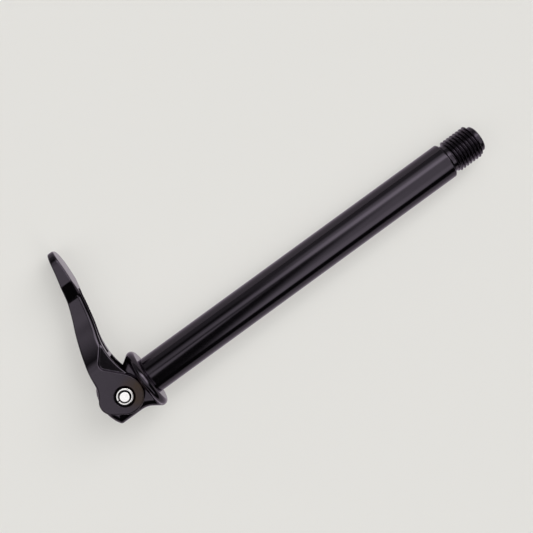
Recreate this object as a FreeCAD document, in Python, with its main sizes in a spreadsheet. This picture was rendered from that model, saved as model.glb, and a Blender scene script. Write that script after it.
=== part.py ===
"""Bicycle thru axle with a cam lever, as a parametric FreeCAD document (millimetres).

Frame: +Y runs along the axle from the lever to the thread, the lever points to -X, and the
pivot pin stands along Z. The origin is the middle of the flange's seat, on the axle's line.
"""
import FreeCAD
import Part
import Sketcher

import math
import os

SIZES = {
    # shank and thread end of the axle
    "shank_radius": 7.5,
    "shank_length": 145.1,
    "shoulder_chamfer": 0.7,
    "relief_radius": 5.95,
    "relief_width": 1.6,
    "thread_radius": 7.0,
    "thread_length": 11.8,
    "thread_chamfer": 0.8,
    "nose_radius": 5.55,
    "nose_length": 1.9,
    "nose_chamfer": 0.5,
    "bore_radius": 4.7,
    "bore_stop": 9.0,
    "bore_point_angle": 59.0,
    # tongue that carries the pivot pin
    "spigot_step": 0.5,
    "spigot_length": 1.2,
    "tongue_width": 11.0,
    "tongue_thickness": 5.0,
    # cam housing
    "pin_setback": 11.8,
    "rim_radius": 12.5,
    "rim_round": 2.0,
    "rim_setback": 1.9,
    "flare_angle": 35.0,
    "flare_round": 8.0,
    "boss_radius": 8.85,
    "boss_overhang": 10.75,
    "boss_corner": 1.2,
    "dome_radius": 15.0,
    "flats_width": 8.9,
    "flange_thickness": 3.7,
    "spigot_clearance": 0.05,
    "seat_clearance": 0.15,
    "seat_chamfer": 0.6,
    "seat_recess": 1.5,
    "tongue_clearance": 0.1,
    "housing_travel": 0.8,
    "pin_slot_clearance": 0.1,
    # lever, measured from the pivot pin
    "head_width": 16.0,
    "slot_clearance": 0.15,
    "slot_radius": 13.0,
    "slot_offset_x": 2.6,
    "slot_offset_y": 2.2,
    "cam_radius": 7.6,
    "cam_offset_x": 0.45,
    "cam_offset_y": 0.35,
    "stop_angle": 35.0,
    "heel_round": 5.0,
    "heel_blend": 15.0,
    "back_root_x": 10.9,
    "back_root_y": 6.65,
    "back_root_angle": 7.0,
    "back_bow": 77.0,
    "back_sweep": 102.0,
    "inner_dip_x": 16.9,
    "inner_dip_y": 4.05,
    "inner_sweep": 98.0,
    "lever_reach": 61.5,
    "tip_round": 1.4,
    "tip_rise": 9.0,
    "head_end": 13.5,
    "head_blend": 12.0,
    "waist_width": 6.8,
    "waist_sweep": 45.0,
    "paddle_start": 48.2,
    "shoulder_angle": 35.0,
    "shoulder_sweep": 2.0,
    "shoulder_blend": 1.0,
    "paddle_width": 15.4,
    "paddle_corner": 5.5,
    "scoop_width": 11.6,
    "scoop_tip_x": 22.5,
    "scoop_tip_y": 4.6,
    "scoop_corner_x": 14.6,
    "scoop_corner_y": 1.9,
    "scoop_lip_x": 5.4,
    "scoop_lip_y": 6.6,
    "scoop_round": 2.6,
    "channel_width": 4.6,
    "channel_depth": 1.6,
    "channel_start": 44.0,
    "channel_end": 17.3,
    "lever_edge": 0.6,
    # pivot pin and its retaining rings
    "pin_radius": 2.5,
    "pin_chamfer": 0.5,
    "pin_stand": 0.6,
    "pin_fit": 0.03,
    "tongue_fit": 0.01,
    "counterbore_radius": 4.1,
    "counterbore_depth": 1.25,
    "ring_wire": 0.475,
    "ring_radius": 2.85,
    "ring_gap_angle": 34.0,
    "ring_fit": 0.025,
    "ring_play": 0.1,
}

SHEET = "Sizes"
# Sketcher counts the ends and centre of an edge from one, and its own axes down from minus one
START, END, CENTRE = range(1, 4)
H_AXIS, V_AXIS = range(-1, -3, -1)
SKETCH_MARGIN = 6.0
ALONG_EDGE = (0, 0.25, 0.5, 0.75, 1)
TOUCH = 1e-4

doc = FreeCAD.newDocument("thru_axle")


class Size:
    """A number together with the sheet expression that drives it."""

    def __init__(self, value, text):
        self.value = value
        self.text = text

    def __add__(self, other):
        other = as_size(other)
        return Size(self.value + other.value, f"({self.text} + {other.text})")

    def __sub__(self, other):
        other = as_size(other)
        return Size(self.value - other.value, f"({self.text} - {other.text})")

    def __mul__(self, factor):
        return Size(self.value * factor, f"({self.text} * {factor})")

    def __neg__(self):
        return Size(-self.value, f"(-{self.text})")


def as_size(quantity):
    """A plain number stands for itself in an expression."""
    if isinstance(quantity, Size):
        return quantity
    return Size(quantity, str(quantity))


def number(quantity):
    """The value of a size or of a plain number."""
    return quantity.value if isinstance(quantity, Size) else quantity


def make_sheet():
    """The spreadsheet that holds every driving dimension under its alias."""
    sheet = doc.addObject("Spreadsheet::Sheet", SHEET)
    for row, (alias, value) in enumerate(SIZES.items(), start=1):
        sheet.set(f"A{row}", alias)
        sheet.set(f"B{row}", str(value))
        sheet.setAlias(f"B{row}", alias)
    doc.recompute()
    return {alias: Size(sheet.get(alias), f"{SHEET}.{alias}") for alias in SIZES}


D = make_sheet()


class Outline:
    """Closed sketch outlines, drawn from point to point and tied to the sheet.

    A coordinate that is a Size is held by a constraint with its expression. A coordinate that
    is a plain number is a tangent point that follows from its neighbours.
    """

    def __init__(self, body, name, plane, height=None):
        self.sketch = body.newObject("Sketcher::SketchObject", name)
        support = [p for p in body.Origin.OriginFeatures if p.Role == plane][0]
        self.sketch.AttachmentSupport = [(support, "")]
        self.sketch.MapMode = "FlatFace"
        if height is not None:
            self.sketch.setExpression("AttachmentOffset.Base.z", height.text)
        self.pieces = []
        self.here = None

    def begin(self, x, y):
        """Start a new closed outline at a point."""
        self.here = (x, y)
        self.pieces = []

    def hold(self, kind, places, size):
        """Add a dimension bound to its sheet expression."""
        index = self.sketch.addConstraint(Sketcher.Constraint(kind, *places, size.value))
        self.sketch.setExpression(f"Constraints[{index}]", size.text)

    def line_to(self, x, y):
        """Straight edge to the next point."""
        start = FreeCAD.Vector(number(self.here[0]), number(self.here[1]), 0)
        end = FreeCAD.Vector(number(x), number(y), 0)
        index = self.sketch.addGeometry(Part.LineSegment(start, end), False)
        self.pieces.append((index, START, END, self.here))
        self.here = (x, y)

    def arc_to(self, x, y, centre, left, radius=None):
        """Round edge to the next point, turning left or right about a centre."""
        x0, y0 = number(self.here[0]), number(self.here[1])
        x1, y1 = number(x), number(y)
        first = math.atan2(y0 - centre[1], x0 - centre[0])
        last = math.atan2(y1 - centre[1], x1 - centre[0])
        if not left:
            first, last = last, first
        circle = Part.Circle(FreeCAD.Vector(*centre, 0), FreeCAD.Vector(0, 0, 1),
                             math.hypot(x0 - centre[0], y0 - centre[1]))
        index = self.sketch.addGeometry(Part.ArcOfCircle(circle, first, last), False)
        ends = (START, END) if left else (END, START)
        self.pieces.append((index, *ends, self.here))
        self.here = (x, y)
        if radius is not None:
            self.hold("Radius", (index,), radius)

    def close(self):
        """Join the edges end to start, and tie the points that have sizes."""
        for this, following in zip(self.pieces, self.pieces[1:] + self.pieces[:1]):
            self.sketch.addConstraint(
                Sketcher.Constraint("Coincident", this[0], this[2], following[0], following[1]))
        for index, start, _, point in self.pieces:
            for kind, axis, value in (("DistanceX", V_AXIS, point[0]), ("DistanceY", H_AXIS, point[1])):
                if isinstance(value, Size):
                    self.hold(kind, (index, start), value)
                elif value == 0:
                    self.sketch.addConstraint(Sketcher.Constraint("PointOnObject", index, start, axis))
        return self.sketch

    def polygon(self, points):
        """Straight-sided closed outline."""
        self.begin(*points[0])
        for point in points[1:] + points[:1]:
            self.line_to(*point)
        return self.close()

    def circle(self, x, y, radius):
        """Full circle about a point."""
        centre = FreeCAD.Vector(number(x), number(y), 0)
        index = self.sketch.addGeometry(Part.Circle(centre, FreeCAD.Vector(0, 0, 1), number(radius)), False)
        self.hold("Radius", (index,), radius)
        for kind, axis, value in (("DistanceX", V_AXIS, x), ("DistanceY", H_AXIS, y)):
            if isinstance(value, Size):
                self.hold(kind, (index, CENTRE), value)
            else:
                self.sketch.addConstraint(Sketcher.Constraint("PointOnObject", index, CENTRE, axis))
        return self.sketch


def make_body(label, y_place=None):
    """A body with its own label, moved along the axle where a place is given."""
    body = doc.addObject("PartDesign::Body", label)
    body.Label = label
    if y_place is not None:
        body.setExpression("Placement.Base.y", y_place.text)
    return body


def revolve(body, sketch, name):
    """Full turn of a sketch about its own vertical axis."""
    feature = body.newObject("PartDesign::Revolution", name)
    feature.Profile = sketch
    feature.ReferenceAxis = (sketch, ["V_Axis"])
    feature.Angle = 360
    sketch.Visibility = False
    return feature


def pad(body, sketch, name, length):
    """Boss that grows equally to both sides of its sketch."""
    feature = body.newObject("PartDesign::Pad", name)
    feature.Profile = sketch
    feature.SideType = "Symmetric"
    feature.setExpression("Length", length.text)
    return feature


def cut_through(body, sketch, name):
    """Cut through the whole body, both ways from the sketch."""
    feature = body.newObject("PartDesign::Pocket", name)
    feature.Profile = sketch
    feature.SideType = "Symmetric"
    feature.Type = "ThroughAll"
    return checked_cut(body, feature)


def cut_between(body, sketch, name, length):
    """Cut of a given width, centred on the sketch."""
    feature = body.newObject("PartDesign::Pocket", name)
    feature.Profile = sketch
    feature.SideType = "Symmetric"
    feature.setExpression("Length", length.text)
    return checked_cut(body, feature)


def cut_both_faces(body, sketch, name):
    """Cut upwards from a raised sketch, and its mirror image below."""
    feature = body.newObject("PartDesign::Pocket", name)
    feature.Profile = sketch
    feature.Type = "ThroughAll"
    feature.Reversed = True
    checked_cut(body, feature)
    mirror = body.newObject("PartDesign::Mirrored", name + "Mirror")
    mirror.Originals = [feature]
    mirror.MirrorPlane = ([p for p in body.Origin.OriginFeatures if p.Role == "XY_Plane"][0], [""])
    body.Tip = mirror
    doc.recompute()
    return mirror


def checked_cut(body, feature):
    """A cut has to take material away."""
    body.Tip = feature
    doc.recompute()
    if feature.Shape.isNull() or feature.Shape.Volume >= feature.BaseFeature.Shape.Volume:
        raise RuntimeError(f"{feature.Name} cuts nothing")
    return feature


def round_edges(body, name, radius, wanted):
    """Fillet on every edge of the body's tip that the test picks."""
    doc.recompute()
    base = body.Tip
    picked = [f"Edge{i}" for i, edge in enumerate(base.Shape.Edges, start=1) if wanted(edge)]
    feature = body.newObject("PartDesign::Fillet", name)
    feature.Base = (base, picked)
    feature.setExpression("Radius", radius.text)
    body.Tip = feature
    doc.recompute()
    return feature


def along_outline(edge, outline):
    """Whether an edge follows a flat outline, at any height but not straight up from it."""
    first, last = edge.ParameterRange
    points = [edge.valueAt(first + (last - first) * share) for share in ALONG_EDGE]
    flat = [FreeCAD.Vector(point.x, point.y, 0) for point in points]
    if flat[0].distanceToPoint(flat[len(flat) // 2]) < TOUCH:
        return False
    return all(Part.Vertex(point).distToShape(outline)[0] < TOUCH for point in flat)


def circles_meet(c0, r0, c1, r1, lower):
    """One of the two points where two circles meet, the lower or the upper one."""
    dx, dy = c1[0] - c0[0], c1[1] - c0[1]
    gap = math.hypot(dx, dy)
    along = (r0 * r0 - r1 * r1 + gap * gap) / (2 * gap)
    off = math.sqrt(r0 * r0 - along * along)
    foot = (c0[0] + along * dx / gap, c0[1] + along * dy / gap)
    both = [(foot[0] - s * off * dy / gap, foot[1] + s * off * dx / gap) for s in (1, -1)]
    return min(both, key=lambda p: p[1]) if lower else max(both, key=lambda p: p[1])


def between(c0, c1, reach):
    """The point at a given distance from c0 on the line towards c1."""
    gap = math.hypot(c1[0] - c0[0], c1[1] - c0[1])
    return (c0[0] + (c1[0] - c0[0]) * reach / gap, c0[1] + (c1[1] - c0[1]) * reach / gap)


def polar(centre, radius, degrees):
    """The point on a circle at an angle from +X."""
    angle = math.radians(degrees)
    return (centre[0] + radius * math.cos(angle), centre[1] + radius * math.sin(angle))


def make_axle():
    """Hollow shank, thread end and nose in one turning, with the tongue for the pin."""
    body = make_body("axle")
    shoulder = D["shank_length"]
    thread_start = shoulder + D["relief_width"]
    thread_end = thread_start + D["thread_length"]
    tip = thread_end + D["nose_length"]
    point_depth = number(D["bore_radius"]) / math.tan(math.radians(number(D["bore_point_angle"])))
    spigot = D["shank_radius"] - D["spigot_step"]
    turned = Outline(body, "AxleProfile", "XY_Plane")
    turned.begin(0, -D["spigot_length"])
    turned.line_to(spigot, -D["spigot_length"])
    turned.line_to(spigot, 0)
    turned.line_to(D["shank_radius"], 0)
    turned.line_to(D["shank_radius"], shoulder - D["shoulder_chamfer"])
    turned.line_to(D["shank_radius"] - D["shoulder_chamfer"], shoulder)
    turned.line_to(D["relief_radius"], shoulder)
    turned.line_to(D["relief_radius"], thread_start)
    turned.line_to(D["thread_radius"] - D["thread_chamfer"], thread_start)
    turned.line_to(D["thread_radius"], thread_start + D["thread_chamfer"])
    turned.line_to(D["thread_radius"], thread_end - D["thread_chamfer"])
    turned.line_to(D["thread_radius"] - D["thread_chamfer"], thread_end)
    turned.line_to(D["nose_radius"], thread_end)
    turned.line_to(D["nose_radius"], tip - D["nose_chamfer"])
    turned.line_to(D["nose_radius"] - D["nose_chamfer"], tip)
    turned.line_to(D["bore_radius"], tip)
    turned.line_to(D["bore_radius"], D["bore_stop"])
    turned.line_to(0, number(D["bore_stop"]) - point_depth)
    turned.line_to(0, -D["spigot_length"])
    revolve(body, turned.close(), "Turning")

    half = D["tongue_width"] * 0.5
    pin_y = -D["pin_setback"]
    flat = Outline(body, "TongueOutline", "XY_Plane")
    flat.begin(half, D["spigot_length"])
    flat.line_to(-half, D["spigot_length"])
    flat.line_to(-half, pin_y)
    flat.arc_to(half, pin_y, (0, number(pin_y)), left=True)
    flat.line_to(half, D["spigot_length"])
    pad(body, flat.close(), "Tongue", D["tongue_thickness"])
    hole = Outline(body, "TongueHoleCircle", "XY_Plane")
    cut_through(body, hole.circle(0, pin_y, D["pin_radius"] + D["tongue_fit"]), "TongueHole")
    return body


def make_cam_housing():
    """Domed boss, flare and flange in one turning, with flats, tongue slot and pin slots."""
    body = make_body("cam_housing")
    boss, rim, rim_round = number(D["boss_radius"]), number(D["rim_radius"]), number(D["rim_round"])
    end_y = -(D["pin_setback"] + D["boss_overhang"])
    rim_centre = (rim - rim_round, -number(D["rim_setback"]))
    slope = math.radians(number(D["flare_angle"]))
    rim_start = (rim_centre[0] + rim_round * math.cos(slope), rim_centre[1] - rim_round * math.sin(slope))
    flare_end_r = boss + number(D["flare_round"]) * (1 - math.cos(slope))
    flare_end_y = rim_start[1] - (rim_start[0] - flare_end_r) / math.tan(slope)
    flare_start_y = flare_end_y - number(D["flare_round"]) * math.sin(slope)
    seat_edge = rim_centre[0] + math.sqrt(rim_round ** 2 - rim_centre[1] ** 2)
    dome = number(D["dome_radius"])
    dome_centre = (0, number(end_y) + dome)
    corner = number(D["boss_corner"])
    corner_x = boss - corner
    corner_y = dome_centre[1] - math.sqrt((dome - corner) ** 2 - corner_x ** 2)
    dome_end = between(dome_centre, (corner_x, corner_y), dome)

    turned = Outline(body, "HousingProfile", "XY_Plane")
    turned.begin(0, end_y)
    turned.arc_to(*dome_end, dome_centre, left=True, radius=D["dome_radius"])
    turned.arc_to(D["boss_radius"], corner_y, (corner_x, corner_y), left=True, radius=D["boss_corner"])
    turned.line_to(D["boss_radius"], flare_start_y)
    turned.arc_to(flare_end_r, flare_end_y, (boss + number(D["flare_round"]), flare_start_y),
                  left=False, radius=D["flare_round"])
    turned.line_to(*rim_start)
    turned.arc_to(seat_edge, 0, rim_centre, left=True, radius=D["rim_round"])
    spigot_bore = D["shank_radius"] - D["spigot_step"] + D["spigot_clearance"]
    turned.line_to(D["shank_radius"] + D["seat_clearance"], 0)
    turned.line_to(spigot_bore, -D["seat_chamfer"])
    turned.line_to(spigot_bore, -D["seat_recess"])
    turned.line_to(0, -D["seat_recess"])
    turned.line_to(0, end_y)
    revolve(body, turned.close(), "Turning")

    inner, outer = D["flats_width"] * 0.5, D["rim_radius"] + SKETCH_MARGIN
    back, front = end_y - SKETCH_MARGIN, -D["flange_thickness"]
    flats = Outline(body, "FlatsOutline", "YZ_Plane")
    flats.polygon([(back, inner), (front, inner), (front, outer), (back, outer)])
    flats.polygon([(back, -inner), (back, -outer), (front, -outer), (front, -inner)])
    cut_through(body, flats.sketch, "Flats")

    half = D["tongue_width"] * 0.5 + D["tongue_clearance"]
    slot = Outline(body, "TongueSlotOutline", "XY_Plane")
    slot.polygon([(half, 0), (-half, 0), (-half, back), (half, back)])
    cut_between(body, slot.sketch, "TongueSlot", D["tongue_thickness"] + D["tongue_clearance"] * 2)

    reach = D["pin_radius"] + D["pin_slot_clearance"]
    near = -D["pin_setback"]
    far = near + D["housing_travel"]
    pin_slot = Outline(body, "PinSlotOutline", "XY_Plane")
    pin_slot.begin(reach, near)
    pin_slot.line_to(reach, far)
    pin_slot.arc_to(-reach, far, (0, number(far)), left=True)
    pin_slot.line_to(-reach, near)
    pin_slot.arc_to(reach, near, (0, number(near)), left=True)
    cut_through(body, pin_slot.close(), "PinSlots")
    return body


def cam_circle():
    """Middle and radius of the cam at the lever's head."""
    return (-number(D["cam_offset_x"]), number(D["cam_offset_y"])), number(D["cam_radius"])


def tip_circle():
    """Middle and radius of the lever's round tip."""
    radius = number(D["tip_round"])
    return (radius - number(D["lever_reach"]), number(D["tip_rise"])), radius


def inner_edge():
    """The two circles of the lever's inner edge: the dip beside the head and the sweep to the tip."""
    cam, cam_r = cam_circle()
    tip, tip_r = tip_circle()
    dip_x, dip_y = -number(D["inner_dip_x"]), number(D["inner_dip_y"])
    across, up = dip_x - cam[0], dip_y - cam[1]
    dip_r = (across ** 2 + up ** 2 - cam_r ** 2) / (2 * (cam_r - up))
    dip = (dip_x, dip_y + dip_r)
    sweep_r = number(D["inner_sweep"])
    sweep = circles_meet(dip, dip_r + sweep_r, tip, sweep_r - tip_r, lower=True)
    return dip, dip_r, sweep, sweep_r


def lever_side_outline(body):
    """Side view of the lever: cam, stop flat, heel, back edge, tip and inner edge, as tangent arcs."""
    cam, cam_r = cam_circle()
    tip, tip_r = tip_circle()
    dip, dip_r, sweep, sweep_r = inner_edge()

    root = (-number(D["back_root_x"]), -number(D["back_root_y"]))
    lean = 90 - number(D["back_root_angle"])
    bow_r = number(D["back_bow"])
    bow = polar(root, bow_r, lean)
    back_r = number(D["back_sweep"])
    back = circles_meet(bow, bow_r + back_r, tip, back_r + tip_r, lower=True)

    blend_r, heel_r = number(D["heel_blend"]), number(D["heel_round"])
    blend = polar(root, -blend_r, lean)
    stop = -number(D["stop_angle"])
    flat_start = polar(cam, cam_r - heel_r, stop)
    run = polar((0, 0), 1, stop - 90)
    offset = (flat_start[0] - blend[0], flat_start[1] - blend[1])
    middle = offset[0] * run[0] + offset[1] * run[1]
    square = offset[0] ** 2 + offset[1] ** 2 - (blend_r + heel_r) ** 2
    travel = -middle - math.sqrt(middle ** 2 - square)
    heel = (flat_start[0] + travel * run[0], flat_start[1] + travel * run[1])

    end_x = -(D["lever_reach"] + SKETCH_MARGIN)
    end_inner = sweep[1] + math.sqrt(sweep_r ** 2 - (number(end_x) - sweep[0]) ** 2)
    end_back = back[1] + math.sqrt(back_r ** 2 - (number(end_x) - back[0]) ** 2)
    outline = Outline(body, "LeverSide", "XY_Plane")
    outline.begin(end_x, end_back)
    outline.arc_to(*between(back, bow, back_r), back, left=False, radius=D["back_sweep"])
    outline.arc_to(-D["back_root_x"], -D["back_root_y"], bow, left=True, radius=D["back_bow"])
    outline.arc_to(*between(heel, blend, heel_r), blend, left=False, radius=D["heel_blend"])
    outline.arc_to(*polar(heel, heel_r, stop), heel, left=True, radius=D["heel_round"])
    outline.line_to(*polar(cam, cam_r, stop))
    outline.arc_to(*between(cam, dip, cam_r), cam, left=True, radius=D["cam_radius"])
    outline.arc_to(*between(dip, sweep, dip_r), dip, left=False)
    outline.arc_to(end_x, end_inner, sweep, left=True, radius=D["inner_sweep"])
    outline.line_to(end_x, end_back)
    return outline.close()


def lever_plan_outline(body):
    """What is trimmed off both sides of the lever: wide head, waist, shoulders and paddle."""
    head, waist, paddle = (number(D[k]) / 2 for k in ("head_width", "waist_width", "paddle_width"))
    reach, corner = number(D["lever_reach"]), number(D["paddle_corner"])
    blend, sweep = number(D["head_blend"]), number(D["waist_sweep"])
    shoulder, ease = number(D["shoulder_sweep"]), number(D["shoulder_blend"])
    slope = math.radians(number(D["shoulder_angle"]))
    lean, rise = math.sin(slope), math.cos(slope)
    head_end, paddle_start = -number(D["head_end"]), -number(D["paddle_start"])
    taper = math.sqrt((head - waist) * (2 * (blend + sweep) - (head - waist)))
    flare = (paddle - waist) / math.tan(slope) + (shoulder + ease) * math.tan(slope / 2)
    waist_start, waist_end = head_end - taper, paddle_start + flare
    outer = D["head_width"] * 0.5 + SKETCH_MARGIN
    far = -D["lever_reach"] - SKETCH_MARGIN * 2

    outline = Outline(body, "LeverPlan", "XZ_Plane")
    outline.begin(-D["head_end"], D["head_width"] * 0.5)
    head_c, waist_c = (head_end, head - blend), (waist_start, waist + sweep)
    outline.arc_to(*between(head_c, waist_c, blend), head_c, left=True, radius=D["head_blend"])
    outline.arc_to(waist_start, waist, waist_c, left=False, radius=D["waist_sweep"])
    outline.line_to(waist_end, D["waist_width"] * 0.5)
    shoulder_c, ease_c = (waist_end, waist + shoulder), (paddle_start, paddle - ease)
    outline.arc_to(waist_end - shoulder * lean, shoulder_c[1] - shoulder * rise, shoulder_c, left=False,
                   radius=D["shoulder_sweep"])
    outline.line_to(paddle_start + ease * lean, ease_c[1] + ease * rise)
    outline.arc_to(paddle_start, paddle, ease_c, left=True, radius=D["shoulder_blend"])
    outline.line_to(corner - reach, D["paddle_width"] * 0.5)
    outline.arc_to(-D["lever_reach"], paddle - corner, (corner - reach, paddle - corner), left=True,
                   radius=D["paddle_corner"])
    outline.line_to(-D["lever_reach"], corner - paddle)
    outline.arc_to(corner - reach, -D["paddle_width"] * 0.5, (corner - reach, corner - paddle), left=True,
                   radius=D["paddle_corner"])
    outline.line_to(paddle_start, -paddle)
    shoulder_c, ease_c = (waist_end, -waist - shoulder), (paddle_start, ease - paddle)
    outline.arc_to(paddle_start + ease * lean, ease_c[1] - ease * rise, ease_c, left=True,
                   radius=D["shoulder_blend"])
    outline.line_to(waist_end - shoulder * lean, shoulder_c[1] + shoulder * rise)
    outline.arc_to(waist_end, -D["waist_width"] * 0.5, shoulder_c, left=False, radius=D["shoulder_sweep"])
    outline.line_to(waist_start, -waist)
    head_c, waist_c = (head_end, blend - head), (waist_start, -waist - sweep)
    outline.arc_to(*between(waist_c, head_c, sweep), waist_c, left=False, radius=D["waist_sweep"])
    outline.arc_to(-D["head_end"], -D["head_width"] * 0.5, head_c, left=True, radius=D["head_blend"])
    outline.line_to(-D["head_end"], -outer)
    outline.line_to(far, -outer)
    outline.line_to(far, outer)
    outline.line_to(-D["head_end"], outer)
    outline.line_to(-D["head_end"], D["head_width"] * 0.5)
    return outline.close()


def scoop_outline(body):
    """Hollow beside each cheek: its two walls meet in a rounded corner, open to the inner edge."""
    tip = (-number(D["scoop_tip_x"]), number(D["scoop_tip_y"]))
    corner = (-number(D["scoop_corner_x"]), -number(D["scoop_corner_y"]))
    lip = (-number(D["scoop_lip_x"]), number(D["scoop_lip_y"]))
    to_tip = math.atan2(tip[1] - corner[1], tip[0] - corner[0])
    to_lip = math.atan2(lip[1] - corner[1], lip[0] - corner[0])
    half_angle = (to_tip - to_lip) / 2
    radius = number(D["scoop_round"])
    centre = polar(corner, radius / math.sin(half_angle), math.degrees((to_tip + to_lip) / 2))
    tangent = radius / math.tan(half_angle)
    top = D["cam_radius"] + SKETCH_MARGIN
    outline = Outline(body, "ScoopOutline", "XY_Plane", D["scoop_width"] * 0.5)
    outline.begin(-D["scoop_tip_x"], D["scoop_tip_y"])
    outline.line_to(*between(corner, tip, tangent))
    outline.arc_to(*between(corner, lip, tangent), centre, left=True, radius=D["scoop_round"])
    outline.line_to(-D["scoop_lip_x"], D["scoop_lip_y"])
    outline.line_to(-D["scoop_lip_x"], top)
    outline.line_to(-D["scoop_tip_x"], top)
    outline.line_to(-D["scoop_tip_x"], D["scoop_tip_y"])
    return outline.close()


def channel_outline(body):
    """Hollow along the lever's inner edge, with a floor at an even depth below the edge's two arcs."""
    dip, dip_r, sweep, sweep_r = inner_edge()
    depth = number(D["channel_depth"])
    start, end = -number(D["channel_start"]), -number(D["channel_end"])
    start_floor = sweep[1] + math.sqrt((sweep_r - depth) ** 2 - (start - sweep[0]) ** 2)
    end_floor = dip[1] - math.sqrt((dip_r + depth) ** 2 - (end - dip[0]) ** 2)
    top = D["tip_rise"] + SKETCH_MARGIN
    outline = Outline(body, "ChannelOutline", "XY_Plane")
    outline.begin(-D["channel_start"], start_floor)
    outline.arc_to(*between(dip, sweep, dip_r + depth), sweep, left=False)
    outline.arc_to(-D["channel_end"], end_floor, dip, left=True)
    outline.line_to(-D["channel_end"], top)
    outline.line_to(-D["channel_start"], top)
    outline.line_to(-D["channel_start"], start_floor)
    return outline.close()


def make_lever():
    """Forged lever: side profile, trimmed in plan, with eased edges, hollows, slot and pin holes."""
    body = make_body("lever", -D["pin_setback"])
    side = lever_side_outline(body)
    pad(body, side, "Profile", D["head_width"])
    cut_through(body, lever_plan_outline(body), "PlanTrim")
    round_edges(body, "EasedEdges", D["lever_edge"], lambda edge: along_outline(edge, side.Shape))
    cut_both_faces(body, scoop_outline(body), "Scoop")
    cut_between(body, channel_outline(body), "Channel", D["channel_width"])
    slot = Outline(body, "SlotCircle", "XY_Plane")
    slot.circle(-D["slot_offset_x"], D["slot_offset_y"], D["slot_radius"])
    cut_between(body, slot.sketch, "Slot", D["flats_width"] + D["slot_clearance"] * 2)
    hole = Outline(body, "PinHoleCircle", "XY_Plane")
    cut_through(body, hole.circle(0, 0, D["pin_radius"] + D["pin_fit"]), "PinHole")
    seat = Outline(body, "CounterboreCircle", "XY_Plane", D["head_width"] * 0.5 - D["counterbore_depth"])
    cut_both_faces(body, seat.circle(0, 0, D["counterbore_radius"]), "Counterbore")
    return body


def ring_height():
    """Height of each ring's middle above the pin's middle, a little clear of its seat."""
    return D["head_width"] * 0.5 - D["counterbore_depth"] + D["ring_play"] + D["ring_wire"]


def make_pivot_pin():
    """Steel cross pin with chamfered ends and a round groove for each ring."""
    body = make_body("pivot_pin", -D["pin_setback"])
    end = D["head_width"] * 0.5 + D["pin_stand"]
    radius = D["pin_radius"]
    profile = Outline(body, "PinProfile", "XZ_Plane")
    profile.polygon([(0, -end), (radius - D["pin_chamfer"], -end), (radius, -(end - D["pin_chamfer"])),
                     (radius, end - D["pin_chamfer"]), (radius - D["pin_chamfer"], end), (0, end)])
    revolve(body, profile.sketch, "Turning")
    doc.recompute()
    for name, height in (("Upper", ring_height()), ("Lower", -ring_height())):
        groove_circle = Outline(body, name + "GrooveCircle", "XZ_Plane")
        groove_circle.circle(D["ring_radius"], height, D["ring_wire"] + D["ring_fit"])
        groove = body.newObject("PartDesign::Groove", name + "Groove")
        groove.Profile = groove_circle.sketch
        groove.ReferenceAxis = (groove_circle.sketch, ["V_Axis"])
        groove.Angle = 360
        checked_cut(body, groove)
    return body


def make_ring(label, height):
    """Round wire snap ring, open on the lever's outer side."""
    ring = doc.addObject("Part::Torus", label)
    ring.Label = label
    ring.setExpression("Radius1", D["ring_radius"].text)
    ring.setExpression("Radius2", D["ring_wire"].text)
    ring.setExpression("Angle3", f"360 - {D['ring_gap_angle'].text}")
    turn = FreeCAD.Rotation(FreeCAD.Vector(0, 0, 1), number(D["ring_gap_angle"]) / 2 - 90)
    ring.Placement = FreeCAD.Placement(FreeCAD.Vector(0, 0, 0), turn)
    ring.setExpression("Placement.Base.y", (-D["pin_setback"]).text)
    ring.setExpression("Placement.Base.z", height.text)
    return ring


def write_parts(parts):
    """Check the whole document, then write one STEP file for each sub-part."""
    doc.recompute()
    for thing in doc.Objects:
        if "Invalid" in thing.State or "Error" in thing.State:
            raise RuntimeError(f"{thing.Label} failed: {thing.State}")
    for part in parts:
        if part.Shape.isNull() or not part.Shape.isValid():
            raise RuntimeError(f"{part.Label} has no valid shape")
    os.makedirs("parts", exist_ok=True)
    for part in parts:
        part.Shape.exportStep(f"parts/{part.Label}.step")
        print(part.Label, len(part.Shape.Solids), round(part.Shape.Volume, 1), part.Shape.BoundBox)


write_parts([
    make_axle(),
    make_cam_housing(),
    make_lever(),
    make_pivot_pin(),
    make_ring("upper_retaining_ring", ring_height()),
    make_ring("lower_retaining_ring", -ring_height()),
])
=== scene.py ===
"""Bicycle thru axle with a cam lever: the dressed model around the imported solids.

Every size is in millimetres in the part's own frame: +Y along the axle towards the thread,
the closed lever to -X, the pivot pin along Z, and the origin on the flange's seat face.
"""
import logging
import math
from dataclasses import dataclass, field
from enum import Enum
from typing import Callable, Sequence

import bmesh
import bpy
import numpy as np
from mathutils import Matrix, Vector

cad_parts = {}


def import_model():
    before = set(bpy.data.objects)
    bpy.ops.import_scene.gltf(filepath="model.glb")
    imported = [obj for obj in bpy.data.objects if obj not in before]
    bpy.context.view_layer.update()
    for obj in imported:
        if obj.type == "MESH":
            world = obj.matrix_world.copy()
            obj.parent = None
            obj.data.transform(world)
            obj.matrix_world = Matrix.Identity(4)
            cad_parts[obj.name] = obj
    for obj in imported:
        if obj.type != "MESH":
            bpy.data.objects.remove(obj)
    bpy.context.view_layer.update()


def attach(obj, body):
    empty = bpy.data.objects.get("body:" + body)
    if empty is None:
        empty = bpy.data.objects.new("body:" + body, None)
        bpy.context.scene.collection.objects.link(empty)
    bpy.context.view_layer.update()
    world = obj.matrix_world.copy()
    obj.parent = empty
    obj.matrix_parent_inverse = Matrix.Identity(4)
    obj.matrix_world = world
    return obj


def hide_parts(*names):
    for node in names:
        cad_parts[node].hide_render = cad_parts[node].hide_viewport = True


LOG = logging.getLogger("thru_axle")
MM = 0.001  # a millimetre in metres
TURN = 2.0 * math.pi  # a whole turn in radians
SHARP_FOLD = math.radians(38)  # a fold sharper than this keeps its edge
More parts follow.
